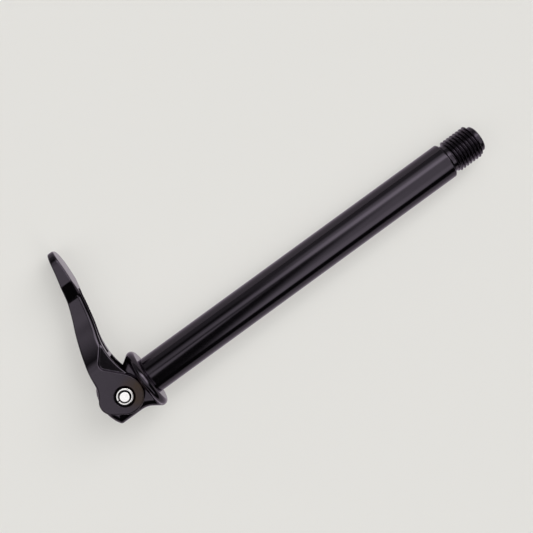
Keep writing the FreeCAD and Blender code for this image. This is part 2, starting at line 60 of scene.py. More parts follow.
NEARLY_STRAIGHT = math.radians(89)  # half the angle at a corner that needs no arc
DOUBLES_APART = 2e-7  # in metres
GRID_MARGIN = 0.6  # room around a shape in its grid
TINY = 1e-9  # least length to divide by
CELL_CORNERS = 8
MIX_FIRST, MIX_SECOND, MIX_RESULT = 6, 7, 2  # where a Mix node has its colours

Array = np.ndarray
Point = tuple[float, float]
Triple = tuple[float, float, float]
Field = Callable[[Array, Array, Array], Array]
Socket = bpy.types.NodeSocket
Value = Socket | float | Triple


class Rides(Enum):
    """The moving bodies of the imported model."""

    AXLE = "axle"
    LEVER = "lever"
    HOUSING = "housing"


class Cheek(Enum):
    """The lever's two cheeks, by the way that they face along the pin."""

    UPPER = 1
    LOWER = -1


@dataclass(frozen=True)
class Marks:
    """Fine marks of working on a metal surface: noise that is stretched by axis, and how deep it reads."""

    scale: float
    detail: float
    stretch: Triple
    depth: float


class Grain(Enum):
    """How a metal surface was worked."""

    TURNED = Marks(scale=900, detail=4, stretch=(0.04, 6.0, 0.04), depth=0.02)
    FORGED = Marks(scale=2600, detail=3, stretch=(1, 1, 1), depth=0.035)


# Outlines and distances


def polar(centre: Point, radius: float, degrees: float) -> Point:
    """The point on a circle at an angle from the first axis.

    Args:
        centre: middle of the circle.
        radius: distance from the middle.
        degrees: angle from the first axis.

    Returns:
        The point's two coordinates.
    """
    angle = math.radians(degrees)
    return centre[0] + radius * math.cos(angle), centre[1] + radius * math.sin(angle)


def between(first: Point, second: Point, reach: float) -> Point:
    """The point at a given distance from the first point, on the line to the second.

    Args:
        first: where the line starts.
        second: what the line runs towards.
        reach: distance along the line.

    Returns:
        The point's two coordinates.
    """
    gap = math.dist(first, second)
    return (first[0] + (second[0] - first[0]) * reach / gap,
            first[1] + (second[1] - first[1]) * reach / gap)


def lower_meeting(c0: Point, r0: float, c1: Point, r1: float) -> Point:
    """The lower of the two points where two circles meet.

    Args:
        c0: middle of the first circle.
        r0: radius of the first circle.
        c1: middle of the second circle.
        r1: radius of the second circle.

    Returns:
        The meeting point with the smaller second coordinate.
    """
    dx, dy = c1[0] - c0[0], c1[1] - c0[1]
    gap = math.hypot(dx, dy)
    along = (r0 * r0 - r1 * r1 + gap * gap) / (2 * gap)
    off = math.sqrt(r0 * r0 - along * along)
    foot = (c0[0] + along * dx / gap, c0[1] + along * dy / gap)
    both = [(foot[0] - s * off * dy / gap, foot[1] + s * off * dx / gap) for s in (1, -1)]
    return min(both, key=lambda p: p[1])


class Outline:
    """A closed outline of lines and arcs, drawn with its inside on the left.

    Its signed distance at a point is the distance to the nearest edge, negative where the point
    lies on the left of that edge.
    """

    def __init__(self, x: float, y: float) -> None:
        """Starts the outline at a point."""
        self.here: Point = (x, y)
        self.edges: list[tuple] = []

    def line_to(self, x: float, y: float) -> None:
        """Adds a straight edge to a point."""
        self.edges.append(("line", self.here, (x, y)))
        self.here = (x, y)

    def arc_to(self, x: float, y: float, centre: Point, left: bool) -> None:
        """Adds a round edge to a point, turning left or right about a centre.

        Args:
            x: first coordinate of the end.
            y: second coordinate of the end.
            centre: middle of the arc.
            left: whether the edge turns left.
        """
        start = math.atan2(self.here[1] - centre[1], self.here[0] - centre[0])
        end = math.atan2(y - centre[1], x - centre[0])
        sweep = (end - start) % TURN if left else (start - end) % TURN
        self.edges.append(("arc", centre, math.dist(self.here, centre), start, sweep, left))
        self.here = (x, y)

    @staticmethod
    def _to_line(x: Array, y: Array, a: Point, b: Point) -> tuple[Array, Array]:
        """Distance to a line's nearest point, and the side that a point lies on.

        Args:
            x: first coordinates.
            y: second coordinates.
            a: start of the line.
            b: end of the line.

        Returns:
            The distances, and numbers that are positive on the left of the line.
        """
        dx, dy = b[0] - a[0], b[1] - a[1]
        share = np.clip(((x - a[0]) * dx + (y - a[1]) * dy) / (dx * dx + dy * dy), 0.0, 1.0)
        side = dx * (y - a[1]) - dy * (x - a[0])
        return np.hypot(x - a[0] - share * dx, y - a[1] - share * dy), side

    @staticmethod
    def _to_arc(x: Array, y: Array, centre: Point, radius: float, start: float, sweep: float,
                left: bool) -> tuple[Array, Array]:
        """Distance to an arc's nearest point, and the side that a point lies on.

        Args:
            x: first coordinates.
            y: second coordinates.
            centre: middle of the arc.
            radius: its radius.
            start: angle at which it starts.
            sweep: angle that it covers.
            left: whether it turns left.

        Returns:
            The distances, and numbers that are positive on the left of the arc.
        """
        u, v = x - centre[0], y - centre[1]
        away = np.hypot(u, v)
        turned = np.arctan2(v, u) - start
        turned = np.mod(turned if left else -turned, TURN)
        ends = [start, start + sweep if left else start - sweep]
        to_ends = np.minimum(*[np.hypot(u - radius * math.cos(e), v - radius * math.sin(e)) for e in ends])
        side = (radius - away) * (1 if left else -1)
        return np.where(turned <= sweep, np.abs(away - radius), to_ends), side

    def distance(self, x: Array, y: Array) -> Array:
        """Signed distance to the outline, negative inside.

        Args:
            x: first coordinates.
            y: second coordinates, broadcast against the first.

        Returns:
            The distances, in the broadcast shape.
        """
        nearest = np.full(np.broadcast(x, y).shape, np.inf)
        sign = np.ones_like(nearest)
        for kind, *shape in self.edges:
            gap, side = (self._to_line if kind == "line" else self._to_arc)(x, y, *shape)
            closer = gap < nearest
            sign = np.where(closer, np.where(side > 0, -1.0, 1.0), sign)
            nearest = np.where(closer, gap, nearest)
        return nearest * sign


def common(a: Array, b: Array, ease: float | Array) -> Array:
    """Inside both shapes, with the edge between them rounded to a radius.

    Where both distances are within the radius of the edge, the new distance is measured from a
    circle of that radius that touches both shapes from inside.

    Args:
        a: signed distances to the first shape.
        b: signed distances to the second shape.
        ease: radius of the rounded edge, one for all points or one for each.

    Returns:
        Signed distances to the common part.
    """
    corner = np.hypot(np.maximum(a + ease, 0.0), np.maximum(b + ease, 0.0))
    return np.minimum(-ease, np.maximum(a, b)) + corner


def without(a: Array, b: Array, ease: float | Array) -> Array:
    """The first shape with the second cut away, its new edges rounded to a radius."""
    return common(a, -b, ease)


# Meshes


def net_surface(shape: Field, low: Sequence[float], high: Sequence[float], step: float, rounds: int = 5,
                nudge_share: float = 0.05, least_slope: float = 0.25) -> tuple[Array, Array, Array]:
    """Quad mesh of the surface where a signed distance is zero.

    The distance is worked out on a grid of points. Each cell that the surface crosses gets one
    vertex, at the mean of the crossings on its edges, and each grid edge that the surface crosses
    gets a quad between its four cells. The vertices are then moved along the distance's gradient
    until they lie on the surface, and that gradient is the normal there.

    Args:
        shape: signed distance at x, y and z.
        low: lowest corner of the grid.
        high: highest corner of the grid.
        step: size of a cell.
        rounds: how often the vertices are moved onto the surface.
        nudge_share: share of a cell over which the gradient is measured.
        least_slope: squared slope below which a move is held back.

    Returns:
        Vertices, quads and unit normals.
    """
    axes = [np.arange(lo, hi + step, step) for lo, hi in zip(low, high)]
    values = shape(axes[0][:, None, None], axes[1][None, :, None], axes[2][None, None, :])
    inside = values < 0.0
    counts = sum(inside[i:i - 1 or None, j:j - 1 or None, k:k - 1 or None].astype(np.int8)
                 for i in (0, 1) for j in (0, 1) for k in (0, 1))
    cells = np.argwhere((counts > 0) & (counts < CELL_CORNERS))
    number = np.full(counts.shape, -1, np.int64)
    number[tuple(cells.T)] = np.arange(len(cells))

    total = np.zeros((len(cells), 3))
    crossings = np.zeros(len(cells))
    for axis in range(3):
        others = [a for a in range(3) if a != axis]
        for p in (0, 1):
            for q in (0, 1):
                near = np.zeros(3, int)
                near[others[0]], near[others[1]] = p, q
                far = near.copy()
                far[axis] = 1
                v0 = values[tuple((cells + near).T)]
                v1 = values[tuple((cells + far).T)]
                crossed = (v0 < 0) != (v1 < 0)
                share = np.where(crossed, v0 / np.where(crossed, v0 - v1, 1.0), 0.0)
                spot = near + share[:, None] * (far - near)
                total += np.where(crossed[:, None], spot, 0.0)
                crossings += crossed
    points = np.array(low) + (cells + total / crossings[:, None]) * step

    quads = []
    for axis in range(3):
        b, c = (axis + 1) % 3, (axis + 2) % 3
        first = [slice(None)] * 3
        second = [slice(None)] * 3
        first[axis], second[axis] = slice(0, -1), slice(1, None)
        change = inside[tuple(first)].astype(np.int8) - inside[tuple(second)].astype(np.int8)
        edge = np.argwhere(change != 0)
        leaving = change[tuple(edge.T)] > 0
        ring = []
        for db, dc in ((-1, -1), (0, -1), (0, 0), (-1, 0)):
            cell = edge.copy()
            cell[:, b] += db
            cell[:, c] += dc
            ring.append(number[tuple(cell.T)])
        quad = np.stack(ring, 1)
        quads.append(np.where(leaving[:, None], quad, quad[:, ::-1]))

    nudge = step * nudge_share
    for _ in range(rounds):
        slope = gradient(shape, points, nudge)
        points -= slope * (shape(*points.T) / np.maximum((slope ** 2).sum(1), least_slope))[:, None]
    slope = gradient(shape, points, nudge)
    return points, np.concatenate(quads), slope / np.linalg.norm(slope, axis=1)[:, None]


def gradient(shape: Field, points: Array, nudge: float) -> Array:
    """Slope of a signed distance at some points, from one nudge each way along each axis."""
    steps = np.eye(3) * nudge
    return np.stack([(shape(*(points + s).T) - shape(*(points - s).T)) / (2 * nudge) for s in steps], 1)


def grid_quads(rows: int, columns: int, around: bool) -> Array:
    """Quads of a grid of vertices that is numbered row by row.

    Args:
        rows: number of rows.
        columns: number of columns.
        around: whether the last column joins the first.

    Returns:
        One row of four vertex numbers per quad.
    """
    r = np.arange(rows - 1)[:, None]
    c = np.arange(columns if around else columns - 1)[None, :]
    following = (c + 1) % columns
    corners = np.broadcast_arrays(r * columns + c, r * columns + following,
                                  (r + 1) * columns + following, (r + 1) * columns + c)
    return np.stack(corners, -1).reshape(-1, 4)


def rounded_line(points: Sequence[Point], radii: Sequence[float], steps: int = 5) -> Array:
    """A run of straight edges with each inner corner replaced by a tangent arc.

    Args:
        points: corners of the line.
        radii: radius at each corner, zero for a sharp one or an end.
        steps: number of points on an arc.

    Returns:
        The points of the eased line.
    """
    corners = np.array(points, float)
    out = [corners[:1]]
    for before, corner, after, radius in zip(corners, corners[1:], corners[2:], radii[1:]):
        back, ahead = before - corner, after - corner
        back, ahead = back / np.linalg.norm(back), ahead / np.linalg.norm(ahead)
        half = math.acos(float(np.clip(back @ ahead, -1, 1))) / 2
        if radius <= 0 or half > NEARLY_STRAIGHT:
            out.append(corner[None])
            continue
        middle = corner + (back + ahead) / np.linalg.norm(back + ahead) * radius / math.sin(half)
        spread = np.linspace(0, 1, steps)[:, None]
        first = corner + back * radius / math.tan(half) - middle
        last = corner + ahead * radius / math.tan(half) - middle
        turn = math.pi - 2 * half
        swung = np.sin((1 - spread) * turn) * first + np.sin(spread * turn) * last
        out.append(middle + swung / math.sin(turn))
    out.append(corners[-1:])
    return braced(np.concatenate(out))


def braced(line: Array, inset: float = 0.02, least: float = 0.2) -> Array:
    """Adds a point just inside both ends of each straight run, so that the run's normals stay straight.

    Args:
        line: points of the line.
        inset: distance of the new points from the run's ends.
        least: shortest run that gets them.

    Returns:
        The line with the added points.
    """
    run = np.diff(line, axis=0)
    length = np.linalg.norm(run, axis=1)[:, None]
    way = run / np.maximum(length, TINY) * inset
    trio = np.stack([line[:-1], line[:-1] + way, line[1:] - way], 1)
    keep = np.concatenate([np.ones_like(length, bool), np.repeat(length > least, 2, 1)], 1)
    return np.concatenate([trio[keep], line[-1:]])


def lathe(line: Array, columns: int) -> tuple[Array, Array]:
    """A line of (height, radius) points turned once about the axis.

    The vertex in row i and column j is the line's point i at the angle of j shares of a turn.

    Args:
        line: heights and radii.
        columns: number of steps in a turn.

    Returns:
        Vertices as (across, along, across) and quads.
    """
    angle = np.arange(columns) * TURN / columns
    height, radius = line[:, 0, None], line[:, 1, None]
    verts = np.stack(np.broadcast_arrays(radius * np.sin(angle), height, radius * np.cos(angle)), -1)
    return verts.reshape(-1, 3), grid_quads(len(line), columns, True)


def make_piece(name: str, verts: Array, faces: Array, normals: Array | None = None) -> bpy.types.Object:
    """A smooth mesh object at the origin, in metres.

    Where no normals are given, doubles are merged, faces are turned outwards and sharp folds stay sharp.

    Args:
        name: the piece's name.
        verts: vertices in millimetres.
        faces: quads.
        normals: unit normals per vertex where the surface gives them exactly.

    Returns:
        The new object, linked to the scene.
    """
    mesh = bpy.data.meshes.new(name)
    mesh.from_pydata((verts * MM).tolist(), [], faces.tolist())
    if normals is None:
        weld(mesh)
    mesh.polygons.foreach_set("use_smooth", np.ones(len(mesh.polygons), bool))
    if normals is None:
        mesh.set_sharp_from_angle(angle=SHARP_FOLD)
    else:
        mesh.normals_split_custom_set_from_vertices(normals.tolist())
    mesh.update()
    piece = bpy.data.objects.new(name, mesh)
    bpy.context.scene.collection.objects.link(piece)
    return piece


def weld(mesh: bpy.types.Mesh) -> None:
    """Merges doubled vertices, drops faces with no area and turns the rest outwards.

    Args:
        mesh: what is mended.
    """
    edit = bmesh.new()
    edit.from_mesh(mesh)
    bmesh.ops.remove_doubles(edit, verts=edit.verts, dist=DOUBLES_APART)
    bmesh.ops.dissolve_degenerate(edit, edges=edit.edges, dist=DOUBLES_APART)
    bmesh.ops.recalc_face_normals(edit, faces=edit.faces)
    edit.to_mesh(mesh)
    edit.free()


# Finishes


def maths(tree: bpy.types.NodeTree, operation: str, *values: Value) -> Socket:
    """Adds a maths node whose inputs are numbers or other nodes' outputs.

    Args:
        tree: where the node goes.
        operation: the node's operation.
        values: its inputs in order.

    Returns:
        The node's output.
    """
    node = tree.nodes.new("ShaderNodeMath")
    node.operation = operation
    for socket, value in zip(node.inputs, values):
        feed(tree, socket, value)
    return node.outputs[0]


def feed(tree: bpy.types.NodeTree, socket: Socket, value: Value) -> None:
    """Links an input to another node's output, or sets it to a number or a colour.

    Args:
        tree: where the input is.
        socket: the input.
        value: what goes into it.
    """
    if isinstance(value, Socket):
        tree.links.new(value, socket)
    else:
        socket.default_value = (*value, 1) if isinstance(value, tuple) else value


def blend(tree: bpy.types.NodeTree, share: Socket, first: Value, second: Value) -> Socket:
    """Mixes two colours.

    Args:
        tree: where the mix goes.
        share: how much of the second colour shows.
        first: a colour or another node's output.
        second: a colour or another node's output.

    Returns:
        The mixed colour.
    """
    node = tree.nodes.new("ShaderNodeMix")
    node.data_type = "RGBA"
    tree.links.new(share, node.inputs[0])
    feed(tree, node.inputs[MIX_FIRST], first)
    feed(tree, node.inputs[MIX_SECOND], second)
    return node.outputs[MIX_RESULT]


class Nodes:
    """A material's node tree, with short ways to add and join nodes."""

    noise_fade: float = 0.55
    noise_range: Point = (0.3, 0.7)

    def __init__(self, name: str) -> None:
        """Makes a node material with a shader, an output and the piece's coordinates.

        Args:
            name: the material's name.
        """
        self.material = bpy.data.materials.new(name)
        self.material.use_nodes = True
        self.tree = self.material.node_tree
        self.tree.nodes.clear()
        self.shader = self.add("ShaderNodeBsdfPrincipled")
        self.output = self.add("ShaderNodeOutputMaterial")
        self.join(self.shader, "BSDF", self.output, "Surface")
        self.place = self.add("ShaderNodeTexCoord")

    def add(self, kind: str, **inputs: object) -> bpy.types.Node:
        """Adds a node and sets its inputs by name.

        Args:
            kind: the node's type.
            inputs: numbers, vectors or colours by the input's name, with _ for a space.

        Returns:
            The new node.
        """
        node = self.tree.nodes.new(kind)
        for key, value in inputs.items():
            node.inputs[key.replace("_", " ")].default_value = value
        return node

    def join(self, source: bpy.types.Node, out: str | int, target: bpy.types.Node, into: str | int) -> None:
        """Links an output to an input."""
        self.tree.links.new(source.outputs[out], target.inputs[into])

    def maths(self, operation: str, *values: Value) -> Socket:
        """Adds a maths node to this material."""
        return maths(self.tree, operation, *values)

    def noise(self, scale: float, detail: float = 3, stretch: Sequence[float] = (1, 1, 1)) -> bpy.types.Node:
        """Noise on the piece's own coordinates.

        Args:
            scale: how fine it is.
            detail: how many finer layers it has.
            stretch: factor on each axis.

        Returns:
            The noise node.
        """
        mapping = self.add("ShaderNodeMapping", Scale=tuple(stretch))
        self.join(self.place, "Object", mapping, "Vector")
        node = self.add("ShaderNodeTexNoise", Scale=scale, Detail=detail, Roughness=self.noise_fade)
        self.join(mapping, "Vector", node, "Vector")
        return node

    def blend(self, share: Socket, first: Value, second: Value) -> Socket:
        """Mixes two colours in this material."""
        return blend(self.tree, share, first, second)

    def spread(self, source: bpy.types.Node, low: float, high: float) -> Socket:
        """Maps the middle of a noise's signal to a range of numbers.

        Args:
            source: the noise.
            low: what the signal's lower end gives.
            high: what its upper end gives.

        Returns:
            The mapped number.
        """
        start, end = self.noise_range
        node = self.add("ShaderNodeMapRange", From_Min=start, From_Max=end, To_Min=low, To_Max=high)
        self.join(source, 0, node, "Value")
        return node.outputs[0]

    def vector(self, operation: str, source: Socket, other: Sequence[float] = (0, 0, 0)) -> bpy.types.Node:
        """Adds a vector node.

        Args:
            operation: the node's operation.
            source: its first input.
            other: its second input, a fixed vector.

        Returns:
            The new node.
        """
        node = self.add("ShaderNodeVectorMath")
        node.operation = operation
        self.tree.links.new(source, node.inputs[0])
        node.inputs[1].default_value = tuple(other)
        return node

    def bump(self, source: bpy.types.Node, depth: float, height: float) -> None:
        """Lifts the shader's normal by a signal.

        Args:
            source: the signal.
            depth: how strongly it shows.
            height: the lift in millimetres.
        """
        node = self.add("ShaderNodeBump", Strength=depth, Distance=height * MM)
        self.join(source, 0, node, "Height")
        self.join(node, 0, self.shader, "Normal")


@dataclass(frozen=True)
class BlackAnodise:
    """Black anodised aluminium: a dark skin with a faint violet mirror, and, where asked, a warm reflection
    painted into the skin as a brown patch about one spot.
    """

    name: str
    grain: Grain
    skin: Triple = (0.0395, 0.0335, 0.042)
    skin_worn: Triple = (0.046, 0.0395, 0.0485)
    edge_tint: Triple = (0.95, 0.87, 1.0)
    mirror: float = 0.965
    smooth: float = 0.08
    rough: float = 0.14
    skin_patches: float = 140.0
    mark_height: float = 0.05
    satin_from: float | None = None
    satin: float = 0.1
    painted_reflection_tone: Triple = (0.05, 0.036, 0.027)
    painted_reflection_at: Triple = (0.0, 0.0, 0.0)
    painted_reflection_reach: float = 0.0
    painted_reflection_core: float = 0.3
    painted_reflection_patches: float = 260.0
    painted_reflection_detail: float = 2.0
    painted_reflection_least: float = 0.6

    def make(self) -> bpy.types.Material:
        """Builds the material: the skin varies slowly, and fine marks follow the working.

        Returns:
            The finished material.
        """
        nodes = Nodes(self.name)
        links, shader = nodes.tree.links, nodes.shader
        shader.inputs["Metallic"].default_value = self.mirror
        shader.inputs["Specular Tint"].default_value = (*self.edge_tint, 1)
        tone = nodes.blend(nodes.noise(self.skin_patches).outputs[0], self.skin, self.skin_worn)
        # Painted reflection: a brown patch blended into the skin's colour about one spot, standing in for a
        # warm reflection.
        if self.painted_reflection_reach > 0:
            tone = nodes.blend(self._painted_reflection_share(nodes), tone, self.painted_reflection_tone)
        links.new(tone, shader.inputs["Base Color"])
        marks = self.grain.value
        worked = nodes.noise(marks.scale, marks.detail, marks.stretch)
        rough = nodes.spread(worked, self.smooth, self.rough)
        if self.satin_from is not None:
            where = nodes.add("ShaderNodeSeparateXYZ")
            nodes.join(nodes.place, "Object", where, 0)
            rolled = nodes.maths("GREATER_THAN", where.outputs[1], self.satin_from * MM)
            rough = nodes.maths("MULTIPLY_ADD", rolled, self.satin, rough)
        links.new(rough, shader.inputs["Roughness"])
        nodes.bump(worked, marks.depth, self.mark_height)
        return nodes.material

    def _painted_reflection_share(self, nodes: Nodes) -> Socket:
        """How much of the painted warm reflection shows in the skin: most at one spot, fading to its reach,
        broken by noise.

        Args:
            nodes: the material's nodes.

        Returns:
            A share from none to all.
        """
        spot = [c * MM for c in self.painted_reflection_at]
        away = nodes.vector("DISTANCE", nodes.place.outputs["Object"], spot)
        fade = nodes.add("ShaderNodeMapRange", From_Min=self.painted_reflection_reach * MM,
                         From_Max=self.painted_reflection_reach * self.painted_reflection_core * MM)
        fade.interpolation_type = "SMOOTHSTEP"
        nodes.join(away, "Value", fade, "Value")
        patch = nodes.spread(nodes.noise(self.painted_reflection_patches, self.painted_reflection_detail), self.painted_reflection_least, 1.0)
        return nodes.maths("MULTIPLY", fade.outputs[0], patch)


@dataclass(frozen=True)
class BrightSteel:
    """Bright steel with fine concentric marks about the pin's axis, and painted shade outside a radius,
    where the colour turns near black.
    """

    name: str
    centre: Triple
    tone: Triple = (0.86, 0.84, 0.83)
    tone_dull: Triple = (0.74, 0.72, 0.71)
    smooth: float = 0.06
    rough: float = 0.13
    # Painted shade: the near-black colour that the steel takes outside the given radius, standing in for the
    # shade on the pin's chamfer.
    scale: Triple = (0.02, 0.018, 0.02)
    painted_shade_from: float | None = None
    ring_marks: float = 700.0
    ring_waver: float = 1.5
    ring_detail: float = 2.0
    grind_marks: float = 1500.0
    mark_depth: float = 0.03
    mark_height: float = 0.03

    def make(self) -> bpy.types.Material:
        """Builds the material: rings about the pin's axis vary its colour, and grinding its roughness.

        Returns:
            The finished material.
        """
        nodes = Nodes(self.name)
        links, shader = nodes.tree.links, nodes.shader
        shader.inputs["Metallic"].default_value = 1.0
        mapping = nodes.add("ShaderNodeMapping", Location=tuple(-c * MM for c in self.centre))
        nodes.join(nodes.place, "Object", mapping, "Vector")
        rings = nodes.add("ShaderNodeTexWave", Scale=self.ring_marks, Distortion=self.ring_waver,
                          Detail=self.ring_detail)
        rings.wave_type = "RINGS"
        rings.rings_direction = "Z"
        nodes.join(mapping, 0, rings, "Vector")
        tone = nodes.blend(rings.outputs[0], self.tone_dull, self.tone)
        # Painted shade: outside the radius the steel's colour is made near black, standing in for the shaded
        # chamfer.
        if self.painted_shade_from is not None:
            across = nodes.vector("MULTIPLY", mapping.outputs[0], (1, 1, 0))
            away = nodes.vector("LENGTH", across.outputs[0])
            outside = nodes.maths("GREATER_THAN", away.outputs["Value"], self.painted_shade_from * MM)
            tone = nodes.blend(outside, tone, self.scale)
        links.new(tone, shader.inputs["Base Color"])
        rough = nodes.spread(nodes.noise(self.grind_marks), self.smooth, self.rough)
        links.new(rough, shader.inputs["Roughness"])
        nodes.bump(rings, self.mark_depth, self.mark_height)
        return nodes.material


def fit_out(piece: bpy.types.Object, body: Rides, node: str, material: bpy.types.Material) -> None:
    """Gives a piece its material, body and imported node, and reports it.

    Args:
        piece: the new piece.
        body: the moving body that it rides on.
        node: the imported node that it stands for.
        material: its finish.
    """
    piece.data.materials.clear()
    piece.data.materials.append(material)
    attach(piece, body.value)
    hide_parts(node)
    LOG.info("%s: %d faces, rides on %s", piece.name, len(piece.data.polygons), body.value)


# Sub-assemblies


@dataclass
class Head:
    """Sizes that the axle, the housing, the lever and the pin share."""

    pin_setback: float = 11.8
    pin_radius: float = 2.5
    head_width: float = 16.0
    flats_width: float = 8.9
    tongue_width: float = 11.0
    tongue_thickness: float = 5.0
    shank_radius: float = 7.5
    spigot_step: float = 0.5
    counterbore_radius: float = 4.1
    counterbore_depth: float = 1.25
    ring_radius: float = 2.85
    ring_wire: float = 0.475
    ring_play: float = 0.1


@dataclass
class ThreadedAxle:
    """The turned axle: tongue, spigot, shank, relief, rolled thread, nose and bore."""

    head: Head
    shank_length: float = 145.1
    shoulder_chamfer: float = 0.7
    relief_radius: float = 5.95
    relief_width: float = 1.6
    thread_radius: float = 7.0
    thread_length: float = 11.8
    pitch: float = 1.5
    thread_depth: float = 0.92
    thread_end_radius: float = 6.0
    nose_radius: float = 5.55
    nose_length: float = 1.9
    nose_chamfer: float = 0.5
    bore_radius: float = 4.7
    bore_stop: float = 9.0
    bore_point: float = 2.8
    spigot_length: float = 1.2
    columns: int = 144
    rows_per_turn: int = 24
    phase: float = 0.18
    lead: float = 1.7
    crest: float = 0.06
    root: float = 0.1
    flank_ease: float = 0.02
    edge_ease: float = 0.2
    seat_ease: float = 0.05
    shoulder_ease: float = 0.35
    relief_ease: float = 0.3
    nose_ease: float = 0.3
    nose_edge_ease: float = 0.15
    bore_lip_ease: float = 0.12
    tongue_edge: float = 0.4
    pin_hole_edge: float = 0.2
    tongue_low: Triple = (-7.0, -18.5, -4.0)
    tongue_high: Triple = (7.0, 0.2, 4.0)
    tongue_step: float = 0.3

    def thread_line(self, share: Array) -> Array:
        """Radius of the thread along a pitch: narrow crest, sloping flanks and narrow root.

        It falls from the crest by the thread's depth times a straight ramp, less a small sine wave that
        softens the ramp's ends.

        Args:
            share: place along the pitch, from 0 to 1, with the crest at a half.

        Returns:
            The radius at each place.
        """
        away = np.abs(share - 0.5) * 2.0
        ramp = np.clip((away - self.crest) / (1.0 - self.crest - self.root), 0.0, 1.0)
        soft = ramp - self.flank_ease * np.sin(TURN * ramp)
        return self.thread_radius - self.thread_depth * soft

    def thread(self) -> tuple[Array, Array]:
        """The helical thread between the relief and the nose.

        Rows follow the helix: the vertex at angle t in row i stands at row i's height plus the
        pitch times t's share of a turn, held between the two ends of the thread. Its radius is
        the thread's profile there, cut back by the lead cones at both ends.

        Returns:
            Vertices and quads.
        """
        start = self.shank_length + self.relief_width
        end = start + self.thread_length
        rows = int((self.thread_length / self.pitch + 1) * self.rows_per_turn) + 2
        turn = np.arange(self.columns + 1) / self.columns
        run = np.arange(rows)[:, None] / self.rows_per_turn - 1.0
        along = np.broadcast_to(run, (rows, self.columns + 1))
        height = np.clip(start + self.pitch * (run + turn), start, end)
        radius = self.thread_line(np.mod(along - self.phase, 1.0))
        radius = np.minimum(radius, self.relief_radius + self.lead * (height - start))
        radius = np.minimum(radius, self.thread_end_radius + self.lead * (end - height))
        angle = TURN * turn
        verts = np.stack([radius * np.sin(angle), height, radius * np.cos(angle)], -1).reshape(-1, 3)
        return verts, grid_quads(rows, self.columns + 1, False)

    def build(self) -> bpy.types.Object:
        """Joins the turned lines, the thread and the tongue into one piece.

        Each line is a run of (height, radius) corners, eased by a radius at each and turned about the axle.

        Returns:
            The axle's object.
        """
        spigot = self.head.shank_radius - self.head.spigot_step
        shank, shoulder = self.head.shank_radius, self.shank_length
        start = shoulder + self.relief_width
        end = start + self.thread_length
        tip = end + self.nose_length
        body_line = rounded_line(
            [(-self.spigot_length, 0), (-self.spigot_length, spigot), (0, spigot), (0, shank),
             (shoulder - self.shoulder_chamfer, shank), (shoulder, shank - self.shoulder_chamfer),
             (shoulder, self.relief_radius), (start, self.relief_radius)],
            [0, self.edge_ease, self.seat_ease, self.edge_ease, self.shoulder_ease, self.edge_ease,
             self.relief_ease, 0])
        nose_line = rounded_line(
            [(end, self.thread_end_radius), (end, self.nose_radius),
             (tip - self.nose_chamfer, self.nose_radius), (tip, self.nose_radius - self.nose_chamfer),
             (tip, self.bore_radius), (self.bore_stop, self.bore_radius),
             (self.bore_stop - self.bore_point, 0)],
            [0, self.nose_edge_ease, self.nose_ease, self.nose_edge_ease, self.bore_lip_ease,
             self.nose_ease, 0])
        parts = [lathe(body_line, self.columns), self.thread(), lathe(nose_line, self.columns)]
        parts.append(net_surface(self.tongue, self.tongue_low, self.tongue_high, self.tongue_step)[:2])
        starts = np.cumsum([0] + [len(v) for v, _ in parts])
        verts = np.concatenate([v for v, _ in parts])
        quads = np.concatenate([q + s for (_, q), s in zip(parts, starts)])
        return make_piece("axle_turned", verts, quads)

    def tongue(self, x: Array, y: Array, z: Array) -> Array:
        """Distance to the flat tongue: a round-ended plate with the hole for the pin.

        Args:
            x: places across the axle.
            y: places along it.
            z: places along the pin.

        Returns:
            Signed distances, negative inside.
        """
        half, pin_y = self.head.tongue_width / 2, -self.head.pin_setback
        plate = Outline(half, -self.spigot_length / 2)
        plate.line_to(-half, -self.spigot_length / 2)
        plate.line_to(-half, pin_y)
        plate.arc_to(half, pin_y, (0, pin_y), True)
        plate.line_to(half, -self.spigot_length / 2)
        slab = common(plate.distance(x, y), np.abs(z) - self.head.tongue_thickness / 2, self.tongue_edge)
        return without(slab, np.hypot(x, y - pin_y) - self.head.pin_radius, self.pin_hole_edge)

    def dress(self, piece: bpy.types.Object) -> None:
        """Anodises the axle black, satin on the rolled thread and beyond.

        Args:
            piece: the axle's object.
        """
        thread_start = self.shank_length + self.relief_width
        finish = BlackAnodise("axle_anodise", Grain.TURNED, satin_from=thread_start)
        fit_out(piece, Rides.AXLE, "axle", finish.make())


